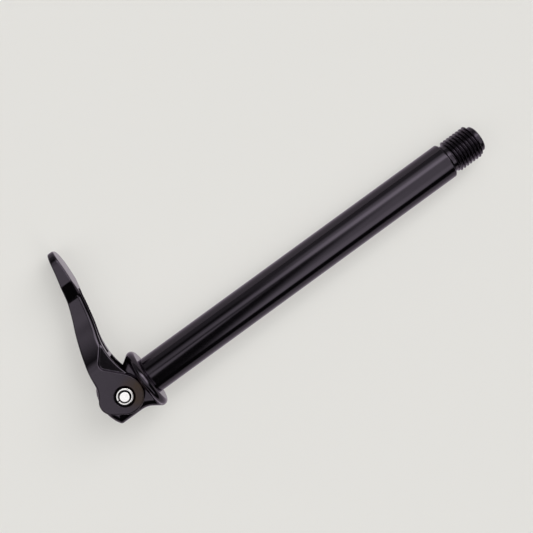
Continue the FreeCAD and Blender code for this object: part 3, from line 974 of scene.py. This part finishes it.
@dataclass
class CamHousing:
    """The sliding head that the lever's cam presses: domed boss, flats, flare and flange."""

    head: Head
    rim_radius: float = 12.5
    rim_round: float = 2.0
    rim_setback: float = 1.9
    flare_angle: float = 35.0
    flare_round: float = 8.0
    boss_radius: float = 8.85
    boss_overhang: float = 10.75
    boss_corner: float = 1.2
    dome_radius: float = 15.0
    flange_thickness: float = 3.7
    flats_round: float = 0.4
    spigot_clearance: float = 0.05
    seat_clearance: float = 0.15
    seat_chamfer: float = 0.6
    seat_recess: float = 1.5
    tongue_clearance: float = 0.1
    travel: float = 0.8
    pin_slot_clearance: float = 0.1
    edge: float = 2.3
    seat_round: float = 0.02
    slot_edge: float = 0.2
    past_axis: float = 4.0
    step: float = 0.24
    profile: Outline = field(init=False)

    def __post_init__(self) -> None:
        """Draws half of the turned section, from the axis outwards, in (radius, height)."""
        end = -(self.head.pin_setback + self.boss_overhang)
        rim = (self.rim_radius - self.rim_round, -self.rim_setback)
        slope = math.radians(self.flare_angle)
        rim_start = polar(rim, self.rim_round, -self.flare_angle)
        flare_r = self.boss_radius + self.flare_round * (1 - math.cos(slope))
        flare_end = rim_start[1] - (rim_start[0] - flare_r) / math.tan(slope)
        flare_start = flare_end - self.flare_round * math.sin(slope)
        seat_edge = rim[0] + math.sqrt(self.rim_round ** 2 - self.rim_setback ** 2)
        dome = (0.0, end + self.dome_radius)
        corner_x = self.boss_radius - self.boss_corner
        corner_y = dome[1] - math.sqrt((self.dome_radius - self.boss_corner) ** 2 - corner_x ** 2)
        dome_end = between(dome, (corner_x, corner_y), self.dome_radius)
        line = Outline(-self.past_axis, end)
        line.line_to(0.0, end)
        line.arc_to(*dome_end, dome, True)
        line.arc_to(self.boss_radius, corner_y, (corner_x, corner_y), True)
        line.line_to(self.boss_radius, flare_start)
        line.arc_to(flare_r, flare_end, (self.boss_radius + self.flare_round, flare_start), False)
        line.line_to(*rim_start)
        line.arc_to(seat_edge, 0.0, rim, True)
        line.line_to(-self.past_axis, 0.0)
        line.line_to(-self.past_axis, end)
        self.profile = line

    def distance(self, x: Array, y: Array, z: Array) -> Array:
        """Turned section, milled flat on both faces, less the seat, the tongue slot and the pin slots.

        Args:
            x: places across the axle.
            y: places along it.
            z: places along the pin.

        Returns:
            Signed distances, negative inside.
        """
        around = np.hypot(x, z)
        turned = self.profile.distance(around, y)
        milled = common(self.head.flats_width / 2 - np.abs(z), y + self.flange_thickness, self.flats_round)
        solid = without(turned, milled, self.edge)
        spigot = self.head.shank_radius - self.head.spigot_step + self.spigot_clearance
        seat = np.maximum(around - spigot, -(y + self.seat_recess))
        lead_out = self.head.shank_radius + self.seat_clearance
        slope = (lead_out - spigot) / self.seat_chamfer
        lead = (around - lead_out - y * slope) / math.hypot(1.0, slope)
        solid = without(solid, np.minimum(seat, np.maximum(lead, -(y + self.seat_chamfer))), self.seat_round)
        half = self.head.tongue_width / 2 + self.tongue_clearance
        thick = self.head.tongue_thickness / 2 + self.tongue_clearance
        slot = np.maximum(np.abs(x) - half, np.abs(z) - thick)
        solid = without(solid, np.maximum(slot, y + self.seat_recess / 2), self.slot_edge)
        pin_y = -self.head.pin_setback
        near = np.clip(y, pin_y, pin_y + self.travel)
        pin = np.hypot(x, y - near) - self.head.pin_radius - self.pin_slot_clearance
        return without(solid, pin, self.slot_edge)

    def build(self) -> bpy.types.Object:
        """Meshes the housing from its distance.

        Returns:
            The housing's object.
        """
        end = -(self.head.pin_setback + self.boss_overhang)
        reach = self.rim_radius + GRID_MARGIN
        low, high = (-reach, end - GRID_MARGIN, -reach), (reach, GRID_MARGIN, reach)
        return make_piece("cam_housing_turned", *net_surface(self.distance, low, high, self.step))

    def dress(self, piece: bpy.types.Object) -> None:
        """Anodises the housing black."""
        finish = BlackAnodise("housing_anodise", Grain.TURNED)
        fit_out(piece, Rides.HOUSING, "cam_housing", finish.make())


@dataclass
class CamLever:
    """The forged lever: cam cheeks, slot, scoops, waist and finger paddle, measured from the pin."""

    head: Head
    slot_clearance: float = 0.15
    slot_radius: float = 13.0
    slot_centre: Point = (-2.6, 2.2)
    cam_radius: float = 7.6
    cam_centre: Point = (-0.45, 0.35)
    stop_angle: float = 35.0
    heel_round: float = 5.0
    heel_blend: float = 15.0
    back_root: Point = (-10.9, -6.65)
    back_root_angle: float = 7.0
    back_bow: float = 77.0
    back_sweep: float = 102.0
    inner_dip: Point = (-16.9, 4.05)
    inner_sweep: float = 98.0
    reach: float = 61.5
    tip_round: float = 1.4
    tip_rise: float = 9.0
    head_end: float = 13.5
    head_blend: float = 12.0
    waist_width: float = 6.8
    waist_sweep: float = 45.0
    paddle_start: float = 48.2
    shoulder_angle: float = 35.0
    shoulder_sweep: float = 2.0
    shoulder_blend: float = 1.0
    paddle_width: float = 15.4
    paddle_corner: float = 5.5
    scoop_width: float = 11.6
    scoop_tip: Point = (-22.5, 4.6)
    scoop_corner: Point = (-14.6, -1.9)
    scoop_lip: Point = (-5.4, 6.6)
    scoop_round: float = 2.6
    channel_width: float = 4.6
    channel_depth: float = 1.6
    channel_start: float = 44.0
    channel_end: float = 17.3
    channel_round: float = 0.8
    channel_lip: float = 0.2
    edge: float = 0.6
    heel_edge: float = 1.5
    heel: Point = (-8.5, -7.5)
    heel_reach: float = 5.0
    inner_round: float = 0.2
    inner_round_reach: float = 3.0
    rail_bevel: float = 1.0
    rail_lip: float = 1.2
    lip_slope: float = 27.0
    paddle_bevel: float = 0.4
    bevel_edge: float = 0.2
    scoop_edge: float = 0.55
    scoop_fall: float = 5.0
    scoop_fillet: float = 0.2
    seat_slope: float = 45.0
    bore_edge: float = 0.22
    slot_fillet: float = 0.5
    slot_edge: float = 0.3
    pin_clearance: float = 0.03
    no_bevel: float = -1.0
    paddle_fade: float = 6.0
    head_fade: float = 8.0
    ahead_of_cam: float = 1.2
    below_pin: float = 12.0
    above_pin: float = 11.5
    # Where the painted warm reflection on the upper cheek is centred, and how far it reaches.
    warm_reflection_at: Triple = (1.2, -7.6, 8.0)
    warm_reflection_reach: float = 8.0
    step: float = 0.21
    overrun: float = 6.0
    side: Outline = field(init=False)
    plan: Outline = field(init=False)
    scoop: Outline = field(init=False)
    channel: Outline = field(init=False)

    def __post_init__(self) -> None:
        """Draws the side view, the plan, the scoops and the channel."""
        self.side = self._side()
        self.channel = self._channel()
        self.plan = self._plan()
        self.scoop = self._scoop()

    def _inner_edge(self) -> tuple[Point, float, Point, float]:
        """The inner edge's two arcs: the dip beside the head and the long sweep.

        Returns:
            Middle and radius of the dip, then of the sweep.
        """
        cam, cam_r, tip_r = self.cam_centre, self.cam_radius, self.tip_round
        tip = (tip_r - self.reach, self.tip_rise)
        across, up = self.inner_dip[0] - cam[0], self.inner_dip[1] - cam[1]
        dip_r = (across ** 2 + up ** 2 - cam_r ** 2) / (2 * (cam_r - up))
        dip = (self.inner_dip[0], self.inner_dip[1] + dip_r)
        sweep_r = self.inner_sweep
        return dip, dip_r, lower_meeting(dip, dip_r + sweep_r, tip, sweep_r - tip_r), sweep_r

    def _to_inner_edge(self, x: Array, y: Array) -> Array:
        """Distance to the inner edge alone.

        Beyond the point where the arcs join it is the distance from the sweep's middle less the sweep's
        radius, and before it the dip's radius less the distance from the dip's middle.

        Args:
            x: places along the lever.
            y: places across it, from the pin.

        Returns:
            Signed distances, negative on the lever's side of the edge.
        """
        dip, dip_r, sweep, sweep_r = self._inner_edge()
        join = between(dip, sweep, dip_r)[0]
        return np.where(x < join, np.hypot(x - sweep[0], y - sweep[1]) - sweep_r,
                        dip_r - np.hypot(x - dip[0], y - dip[1]))

    def _along_lever(self, x: Array, paddle: float, waist: float, head: float) -> Array:
        """A size that changes evenly along the lever, from the paddle to the waist and on to the head.

        Args:
            x: places along the lever.
            paddle: the size on the paddle.
            waist: the size on the waist.
            head: the size on the head.

        Returns:
            The size at each place.
        """
        stations = (-self.paddle_start, -self.paddle_start + self.paddle_fade,
                    -self.head_end - self.head_fade, -self.head_end)
        return np.interp(x, stations, (paddle, waist, waist, head))

    def _channel(self) -> Outline:
        """Hollow along the inner edge, with its floor at an even depth below the edge's two arcs.

        Returns:
            The outline.
        """
        dip, dip_r, sweep, sweep_r = self._inner_edge()
        start, end, depth = -self.channel_start, -self.channel_end, self.channel_depth
        start_floor = sweep[1] + math.sqrt((sweep_r - depth) ** 2 - (start - sweep[0]) ** 2)
        end_floor = dip[1] - math.sqrt((dip_r + depth) ** 2 - (end - dip[0]) ** 2)
        top = self.tip_rise + self.overrun
        line = Outline(start, start_floor)
        line.arc_to(*between(dip, sweep, dip_r + depth), sweep, False)
        line.arc_to(end, end_floor, dip, True)
        line.line_to(end, top)
        line.line_to(start, top)
        line.line_to(start, start_floor)
        return line

    def _side(self) -> Outline:
        """Side view of the lever as tangent arcs: cam, stop flat, heel, back edge and inner edge.

        Returns:
            The outline.
        """
        cam, cam_r, tip_r = self.cam_centre, self.cam_radius, self.tip_round
        tip = (tip_r - self.reach, self.tip_rise)
        dip, dip_r, sweep, sweep_r = self._inner_edge()
        bow_r, back_r = self.back_bow, self.back_sweep
        lean = 90 - self.back_root_angle
        bow = polar(self.back_root, bow_r, lean)
        back = lower_meeting(bow, bow_r + back_r, tip, back_r + tip_r)
        blend = polar(self.back_root, -self.heel_blend, lean)
        flat_start = polar(cam, cam_r - self.heel_round, -self.stop_angle)
        run = polar((0, 0), 1, -self.stop_angle - 90)
        offset = (flat_start[0] - blend[0], flat_start[1] - blend[1])
        middle = offset[0] * run[0] + offset[1] * run[1]
        square = offset[0] ** 2 + offset[1] ** 2 - (self.heel_blend + self.heel_round) ** 2
        travel = -middle - math.sqrt(middle ** 2 - square)
        heel = (flat_start[0] + travel * run[0], flat_start[1] + travel * run[1])
        end = -(self.reach + self.overrun)
        end_inner = sweep[1] + math.sqrt(sweep_r ** 2 - (end - sweep[0]) ** 2)
        end_back = back[1] + math.sqrt(back_r ** 2 - (end - back[0]) ** 2)
        line = Outline(end, end_back)
        line.arc_to(*between(back, bow, back_r), back, False)
        line.arc_to(*self.back_root, bow, True)
        line.arc_to(*between(heel, blend, self.heel_round), blend, False)
        line.arc_to(*polar(heel, self.heel_round, -self.stop_angle), heel, True)
        line.line_to(*polar(cam, cam_r, -self.stop_angle))
        line.arc_to(*between(cam, dip, cam_r), cam, True)
        line.arc_to(*between(dip, sweep, dip_r), dip, False)
        line.arc_to(end, end_inner, sweep, True)
        line.line_to(end, end_back)
        return line

    def _plan(self) -> Outline:
        """Plan of the lever's upper half: wide head, waist, shoulder and paddle with a round corner.

        It runs on past the lever's middle, and both halves read it at their distance from there.

        Returns:
            The outline.
        """
        head, waist, paddle = self.head.head_width / 2, self.waist_width / 2, self.paddle_width / 2
        blend, sweep, corner = self.head_blend, self.waist_sweep, self.paddle_corner
        shoulder, ease = self.shoulder_sweep, self.shoulder_blend
        taper = math.sqrt((head - waist) * (2 * (blend + sweep) - (head - waist)))
        slope = math.radians(self.shoulder_angle)
        lean, rise = math.sin(slope), math.cos(slope)
        flare = (paddle - waist) / math.tan(slope) + (shoulder + ease) * math.tan(slope / 2)
        start = -self.paddle_start
        waist_start, waist_end = -self.head_end - taper, start + flare
        far = self.cam_radius + self.overrun
        line = Outline(far, -head)
        line.line_to(far, head)
        line.line_to(-self.head_end, head)
        head_c, waist_c = (-self.head_end, head - blend), (waist_start, waist + sweep)
        line.arc_to(*between(head_c, waist_c, blend), head_c, True)
        line.arc_to(waist_start, waist, waist_c, False)
        line.line_to(waist_end, waist)
        wide_c, ease_c = (waist_end, waist + shoulder), (start, paddle - ease)
        line.arc_to(waist_end - shoulder * lean, wide_c[1] - shoulder * rise, wide_c, False)
        line.line_to(start + ease * lean, ease_c[1] + ease * rise)
        line.arc_to(start, paddle, ease_c, True)
        line.line_to(corner - self.reach, paddle)
        line.arc_to(-self.reach, paddle - corner, (corner - self.reach, paddle - corner), True)
        line.line_to(-self.reach, -head)
        line.line_to(far, -head)
        return line

    def _scoop(self) -> Outline:
        """Hollow beside each cheek: two walls that meet in a round corner, open to the inner edge.

        Returns:
            The outline.
        """
        tip, corner, lip = self.scoop_tip, self.scoop_corner, self.scoop_lip
        to_tip = math.atan2(tip[1] - corner[1], tip[0] - corner[0])
        to_lip = math.atan2(lip[1] - corner[1], lip[0] - corner[0])
        half = (to_tip - to_lip) / 2
        centre = polar(corner, self.scoop_round / math.sin(half), math.degrees((to_tip + to_lip) / 2))
        tangent = self.scoop_round / math.tan(half)
        top = self.cam_radius + self.overrun
        line = Outline(*tip)
        line.line_to(*between(corner, tip, tangent))
        line.arc_to(*between(corner, lip, tangent), centre, True)
        line.line_to(*lip)
        line.line_to(lip[0], top)
        line.line_to(tip[0], top)
        line.line_to(*tip)
        return line

    def distance(self, x: Array, y: Array, z: Array) -> Array:
        """Side view and plan in common, less the scoops, the channel, the slot, the pin hole and its seats.

        The edge is rounder at the heel, the inner edge has a bevel with a shallow lip above it, the
        scoops' floors fall towards the inner edge, and a cone leads from each counterbore's wall to its
        floor.

        Args:
            x: places across the axle.
            y: places along it.
            z: places along the pin.

        Returns:
            Signed distances, negative inside.
        """
        y = y + self.head.pin_setback
        deep = np.abs(z)
        plan = self.plan.distance(x, deep)
        inner = self._to_inner_edge(x, y)
        near_heel = np.clip(1 - np.hypot(x - self.heel[0], y - self.heel[1]) / self.heel_reach, 0.0, 1.0)
        near_inner = np.clip(1 + inner / self.inner_round_reach, 0.0, 1.0)
        inner_round = self._along_lever(x, self.inner_round, self.inner_round, self.edge)
        ease = self.edge + (self.heel_edge - self.edge) * near_heel + (inner_round - self.edge) * near_inner
        solid = common(self.side.distance(x, y), plan, ease)
        bevel = inner + plan + self._along_lever(x, self.paddle_bevel, self.rail_bevel, self.no_bevel)
        solid = common(solid, bevel / math.sqrt(2), self.bevel_edge)
        slope = math.radians(self.lip_slope)
        lip = inner + self._along_lever(x, self.no_bevel, self.rail_lip, self.no_bevel)
        solid = common(solid, plan * math.cos(slope) + lip * math.sin(slope), self.bevel_edge)
        fall = math.radians(self.scoop_fall)
        floor = self.scoop_width / 2 - (y - self.scoop_corner[1] - self.scoop_round) * math.tan(fall)
        hollow = common(self.scoop.distance(x, y), (floor - deep) * math.cos(fall), self.scoop_fillet)
        solid = without(solid, hollow, self.scoop_edge)
        trough = common(self.channel.distance(x, y), deep - self.channel_width / 2, self.channel_round)
        solid = without(solid, trough, self.channel_lip)
        slot = np.hypot(x - self.slot_centre[0], y - self.slot_centre[1]) - self.slot_radius
        slot = common(slot, deep - self.head.flats_width / 2 - self.slot_clearance, self.slot_fillet)
        solid = without(solid, slot, self.slot_edge)
        away = np.hypot(x, y)
        below = self.head.head_width / 2 - self.head.counterbore_depth - deep
        lean = math.radians(self.seat_slope)
        wire_edge = self.head.ring_radius + self.head.ring_wire
        cone = (away - wire_edge) * math.sin(lean) + below * math.cos(lean)
        seat = np.maximum(np.maximum(away - self.head.counterbore_radius, below), cone)
        bore = away - self.head.pin_radius - self.pin_clearance
        return without(solid, np.minimum(bore, seat), self.bore_edge)

    def build(self) -> bpy.types.Object:
        """Meshes the lever from its distance.

        Returns:
            The lever's object.
        """
        wide, pin_y = self.head.head_width / 2 + GRID_MARGIN, -self.head.pin_setback
        low = (-self.reach - GRID_MARGIN, pin_y - self.below_pin, -wide)
        high = (self.cam_radius + self.ahead_of_cam, pin_y + self.above_pin, wide)
        return make_piece("cam_lever_forged", *net_surface(self.distance, low, high, self.step))

    def dress(self, piece: bpy.types.Object) -> None:
        """Anodises the lever black over its forged skin, with a warm reflection painted into the skin as a
        brown patch beside the pin.

        Args:
            piece: the lever's object.
        """
        finish = BlackAnodise("lever_anodise", Grain.FORGED, smooth=0.11, rough=0.19,
                              painted_reflection_at=self.warm_reflection_at, painted_reflection_reach=self.warm_reflection_reach)
        fit_out(piece, Rides.LEVER, "lever", finish.make())


@dataclass
class PivotPin:
    """The steel cross pin with chamfered ends and a groove for each snap ring, and the rings."""

    head: Head
    stand: float = 0.6
    chamfer: float = 0.62
    groove_fit: float = 0.025
    ring_gap: float = 10.0
    ring_press: float = 0.55
    ring_ends: tuple[float, ...] = (0.0, 0.8, 1.0)
    land: float = 1.2
    chamfer_ease: Point = (0.1, 0.12)
    flat_overlap: float = 0.06
    groove_points: int = 9
    wire_points: int = 28
    columns: int = 96

    def ring_height(self) -> float:
        """Height of a ring's middle above the pin's middle."""
        floor = self.head.head_width / 2 - self.head.counterbore_depth
        return floor + self.head.ring_play + self.head.ring_wire

    def bright_radius(self) -> float:
        """Radius of the part of the pin's end that is ground bright; outside it, shade is painted into the
        steel's colour.
        """
        return self.head.pin_radius - self.chamfer + self.flat_overlap

    def build_pin(self) -> bpy.types.Object:
        """Turns the pin: a stepped line with round grooves, stood up along Z.

        Returns:
            The pin's object.
        """
        end, radius = self.head.head_width / 2 + self.stand, self.head.pin_radius
        wire = self.head.ring_wire + self.groove_fit
        cut = math.acos((self.head.ring_radius - radius) / wire)
        swing = np.linspace(-cut, cut, self.groove_points)
        groove = np.stack([wire * np.sin(swing), self.head.ring_radius - wire * np.cos(swing)], 1)
        height = self.ring_height()
        upper = rounded_line([(end - self.chamfer - self.land, radius), (end - self.chamfer, radius),
                              (end, radius - self.chamfer), (end, 0)], [0, *self.chamfer_ease, 0])
        lower = upper[::-1] * (-1, 1)
        line = np.concatenate([lower[:-1], groove - (height, 0), groove + (height, 0), upper[1:]])
        verts, quads = lathe(line, self.columns)
        verts = np.stack([verts[:, 0], -self.head.pin_setback + verts[:, 2], verts[:, 1]], 1)
        return make_piece("pivot_pin_turned", verts, quads)

    def build_ring(self, name: str, cheek: Cheek) -> bpy.types.Object:
        """Carries the wire along an open circle and closes its cut ends.

        The wire's section is a circle pressed towards a square: the sine and the cosine are raised to
        a power below one.

        Args:
            name: the piece's name.
            cheek: where the ring sits.

        Returns:
            The ring's object.
        """
        gap = math.radians(self.ring_gap) / 2
        path = np.linspace(-math.pi / 2 + gap, TURN - math.pi / 2 - gap, self.columns)
        ends = np.array(self.ring_ends)
        wire = self.head.ring_wire * np.concatenate([ends, np.ones(self.columns - 2), ends[::-1]])[:, None]
        path = np.concatenate([path[:1], path[:1], path, path[-1:], path[-1:]])[:, None]
        about = np.arange(self.wire_points) * TURN / self.wire_points
        out, up = (np.sign(part) * np.abs(part) ** self.ring_press
                   for part in (np.cos(about), np.sin(about)))
        radius = self.head.ring_radius + wire * out
        verts = np.stack([radius * np.cos(path), radius * np.sin(path) - self.head.pin_setback,
                          cheek.value * self.ring_height() + wire * up], -1).reshape(-1, 3)
        return make_piece(name, verts, grid_quads(len(path), self.wire_points, True))

    def dress(self, pin: bpy.types.Object, upper: bpy.types.Object, lower: bpy.types.Object) -> None:
        """Finishes the pin in steel that is ground bright on the flat of its ends, with shade painted
        outside that flat, and the rings in drawn wire.

        Args:
            pin: the pin's object.
            upper: the upper ring's object.
            lower: the lower ring's object.
        """
        centre = (0.0, -self.head.pin_setback, 0.0)
        # The pin's steel has shade painted outside the flat of its ends.
        steel = BrightSteel("bright_steel", centre, painted_shade_from=self.bright_radius()).make()
        wire = BrightSteel("spring_wire", centre, smooth=0.1, rough=0.2).make()
        fit_out(pin, Rides.AXLE, "pivot_pin", steel)
        fit_out(upper, Rides.AXLE, "upper_retaining_ring", wire)
        fit_out(lower, Rides.AXLE, "lower_retaining_ring", wire)


# Stage


@dataclass(frozen=True)
class Edge:
    """A soft straight edge of a studio panel, as the part sees it.

    A direction is given by two angles from straight up, one towards +X and one towards +Y. The edge
    weighs them as across * first + along * second, and light fades in from dark to lit.
    """

    across: float
    along: float
    dark: float
    lit: float


@dataclass(frozen=True)
class Panel:
    """A white panel over the part: where its edges lie and how bright it is, with 1 as white paper."""

    name: str
    glow: float
    edges: tuple[Edge, ...]


@dataclass(frozen=True)
class Room:
    """The studio room: white panels around the lens, dark beyond them, and a pale backdrop behind the floor.

    The lens sees the backdrop wherever it looks past the floor. Metal sees it only below a low angle,
    and above that the panels and the dark room.
    """

    ambient: float = 0.014
    backdrop: Triple = (0.757, 0.749, 0.72)
    backdrop_top: float = 1.0
    panels: tuple[Panel, ...] = (
        Panel("key_strip", 0.78, (Edge(1, 0, -50, -30), Edge(1, 0, -12, -23), Edge(0, 1, -13, -4),
                                  Edge(0, 1, 70, 55))),
        Panel("key_core", 0.85, (Edge(1, 0, -42, -29), Edge(1, 0, -13, -23), Edge(0, 1, -8, 5),
                                 Edge(0, 1, 70, 55))),
        Panel("key_far", 3.4, (Edge(1, 0, -44, -24), Edge(1, 0, 24, 4), Edge(0, 1, 18, 34),
                               Edge(0, 1, 72, 58))),
        Panel("key_near", 1.0, (Edge(1, 0, -46, -24), Edge(1, 0, 28, 4), Edge(0, 1, -17, -34),
                                Edge(0, 1, -72, -58))),
        Panel("far_right", 1.15, (Edge(1, 0, -12, -4), Edge(1, 0, 64, 54), Edge(0.2, 1, 3.3, 12.3),
                                  Edge(0, 1, 32, 20))),
        Panel("far_rim", 0.5, (Edge(1, 0, 24, 44), Edge(1, 0, 64, 54), Edge(0.2, 1, 4, 12),
                               Edge(0, 1, 32, 20))),
        Panel("far_left", 1.2, (Edge(1, 0, -64, -46), Edge(1, 0, -4, -12), Edge(-0.07, 1, 3.3, 12.3),
                                Edge(0, 1, 32, 20))),
        Panel("near_panel", 1.25, (Edge(0.48, 1, -1.0, -5.4), Edge(1, 0, -15, -6), Edge(0, 1, -36, -16),
                                   Edge(1, 0, 40, 25))),
        Panel("near_left", 1.15, (Edge(1, 0, -46, -13), Edge(1, 0, -6, -15), Edge(0, 1, -6, -9.5),
                                  Edge(0, 1, -36, -16))),
        Panel("left_glow", 0.27, (Edge(1, 0, -50, -66), Edge(1, 0, -110, -95))),
    )

    def build(self) -> None:
        """Lights the world: each panel is its glow times the soft steps of its edges."""
        world = bpy.data.worlds.new("studio_room")
        world.use_nodes = True
        tree = world.node_tree
        way = tree.nodes.new("ShaderNodeSeparateXYZ")
        tree.links.new(tree.nodes.new("ShaderNodeTexCoord").outputs["Generated"], way.inputs[0])
        leans = [maths(tree, "ARCTAN2", way.outputs[axis], way.outputs[2]) for axis in (0, 1)]
        angles = [maths(tree, "MULTIPLY", lean, math.degrees(1.0)) for lean in leans]
        total: Value = self.ambient
        for panel in self.panels:
            light: Value = panel.glow
            for edge in panel.edges:
                along = maths(tree, "MULTIPLY", angles[1], edge.along)
                place = maths(tree, "MULTIPLY_ADD", angles[0], edge.across, along)
                step = tree.nodes.new("ShaderNodeMapRange")
                step.interpolation_type = "SMOOTHSTEP"
                step.inputs["From Min"].default_value = edge.dark
                step.inputs["From Max"].default_value = edge.lit
                tree.links.new(place, step.inputs["Value"])
                light = maths(tree, "MULTIPLY", step.outputs[0], light)
            total = maths(tree, "ADD", light, total)
            LOG.info("panel %s: %d edges, glow %.2f", panel.name, len(panel.edges), panel.glow)
        rays = tree.nodes.new("ShaderNodeLightPath").outputs
        low = maths(tree, "LESS_THAN", way.outputs[2], math.sin(math.radians(self.backdrop_top)))
        seen = maths(tree, "MULTIPLY", rays["Is Glossy Ray"], low)
        seen = maths(tree, "MAXIMUM", seen, rays["Is Camera Ray"])
        seen = maths(tree, "MAXIMUM", seen, rays["Is Transmission Ray"])
        shown = blend(tree, seen, total, self.backdrop)
        tree.links.new(shown, tree.nodes["Background"].inputs["Color"])
        bpy.context.scene.world = world


@dataclass(frozen=True)
class PaleFloor:
    """Flat pale paper through the three points that the part rests on."""

    contacts: tuple[Triple, ...] = (
        (0.0, -1.9, -12.5), (0.0, 144.3, -7.5), (-58.0, -4.0, -7.7))
    tone: Triple = (0.834, 0.822, 0.788)
    lift: float = 0.45
    half: float = 30000.0

    def build(self) -> None:
        """Makes the sheet and stages it.

        Its normal is the cross product of the ways from one contact to the other two, and its corners
        stand half a side each way from that contact.
        """
        a, b, c = (Vector(p) for p in self.contacts)
        normal = (b - a).cross(c - a).normalized()
        normal = normal if normal.z > 0 else -normal
        side = Vector((1, 0, 0)).cross(normal).normalized()
        front = normal.cross(side)
        corners = [(a + side * sx * self.half + front * sy * self.half) * MM
                   for sx, sy in ((-1, -1), (1, -1), (1, 1), (-1, 1))]
        mesh = bpy.data.meshes.new("pale_floor")
        mesh.from_pydata(corners, [], [(0, 1, 2, 3)])
        floor = bpy.data.objects.new("pale_floor", mesh)
        bpy.context.scene.collection.objects.link(floor)
        mesh.materials.append(self.paper())

    def paper(self) -> bpy.types.Material:
        """Matt paper, part of whose brightness the lens, metal and glass see as its plain colour.

        Returns:
            The finished material.
        """
        nodes = Nodes("pale_paper")
        nodes.shader.inputs["Base Color"].default_value = (*self.tone, 1)
        nodes.shader.inputs["Roughness"].default_value = 1.0
        nodes.shader.inputs["Specular IOR Level"].default_value = 0.0
        rays = nodes.add("ShaderNodeLightPath")
        seen = nodes.maths("MAXIMUM", rays.outputs["Is Camera Ray"], rays.outputs["Is Glossy Ray"])
        seen = nodes.maths("MAXIMUM", seen, rays.outputs["Is Transmission Ray"])
        plain = nodes.add("ShaderNodeEmission", Color=(*self.tone, 1), Strength=1.0)
        both = nodes.add("ShaderNodeMixShader")
        nodes.tree.links.new(nodes.maths("MULTIPLY", seen, self.lift), both.inputs[0])
        nodes.join(nodes.shader, "BSDF", both, 1)
        nodes.join(plain, 0, both, 2)
        nodes.join(both, 0, nodes.output, "Surface")
        return nodes.material


@dataclass(frozen=True)
class PhotoCamera:
    """The camera over the part, where the photograph was taken."""

    place: Triple = (-38.426, 45.395, 385.033)
    right: Triple = (0.58331, 0.80818, 0.08121)
    up: Triple = (-0.80839, 0.58736, -0.03880)
    lens: float = 66.154
    sensor: float = 36.0

    def build(self) -> None:
        """Makes the camera and hands it to the scene."""
        data = bpy.data.cameras.new("photo_camera")
        data.lens, data.sensor_width = self.lens, self.sensor
        camera = bpy.data.objects.new("photo_camera", data)
        right = Vector(self.right).normalized()
        back = right.cross(Vector(self.up)).normalized()
        turn = Matrix((right, back.cross(right), back)).transposed().to_4x4()
        camera.matrix_world = Matrix.Translation(Vector(self.place) * MM) @ turn
        bpy.context.scene.collection.objects.link(camera)
        bpy.context.scene.camera = camera


def main() -> None:
    """Builds and dresses each sub-assembly in order, then sets the stage."""
    logging.basicConfig(level=logging.INFO, format="%(name)s: %(message)s")
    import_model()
    head = Head()
    for assembly in (ThreadedAxle(head), CamHousing(head), CamLever(head)):
        assembly.dress(assembly.build())
    pin = PivotPin(head)
    pin.dress(pin.build_pin(), pin.build_ring("upper_snap_ring", Cheek.UPPER),
              pin.build_ring("lower_snap_ring", Cheek.LOWER))
    Room().build()
    PaleFloor().build()
    PhotoCamera().build()
    bpy.context.scene.view_settings.view_transform = "Standard"


if __name__ == "__main__":
    main()
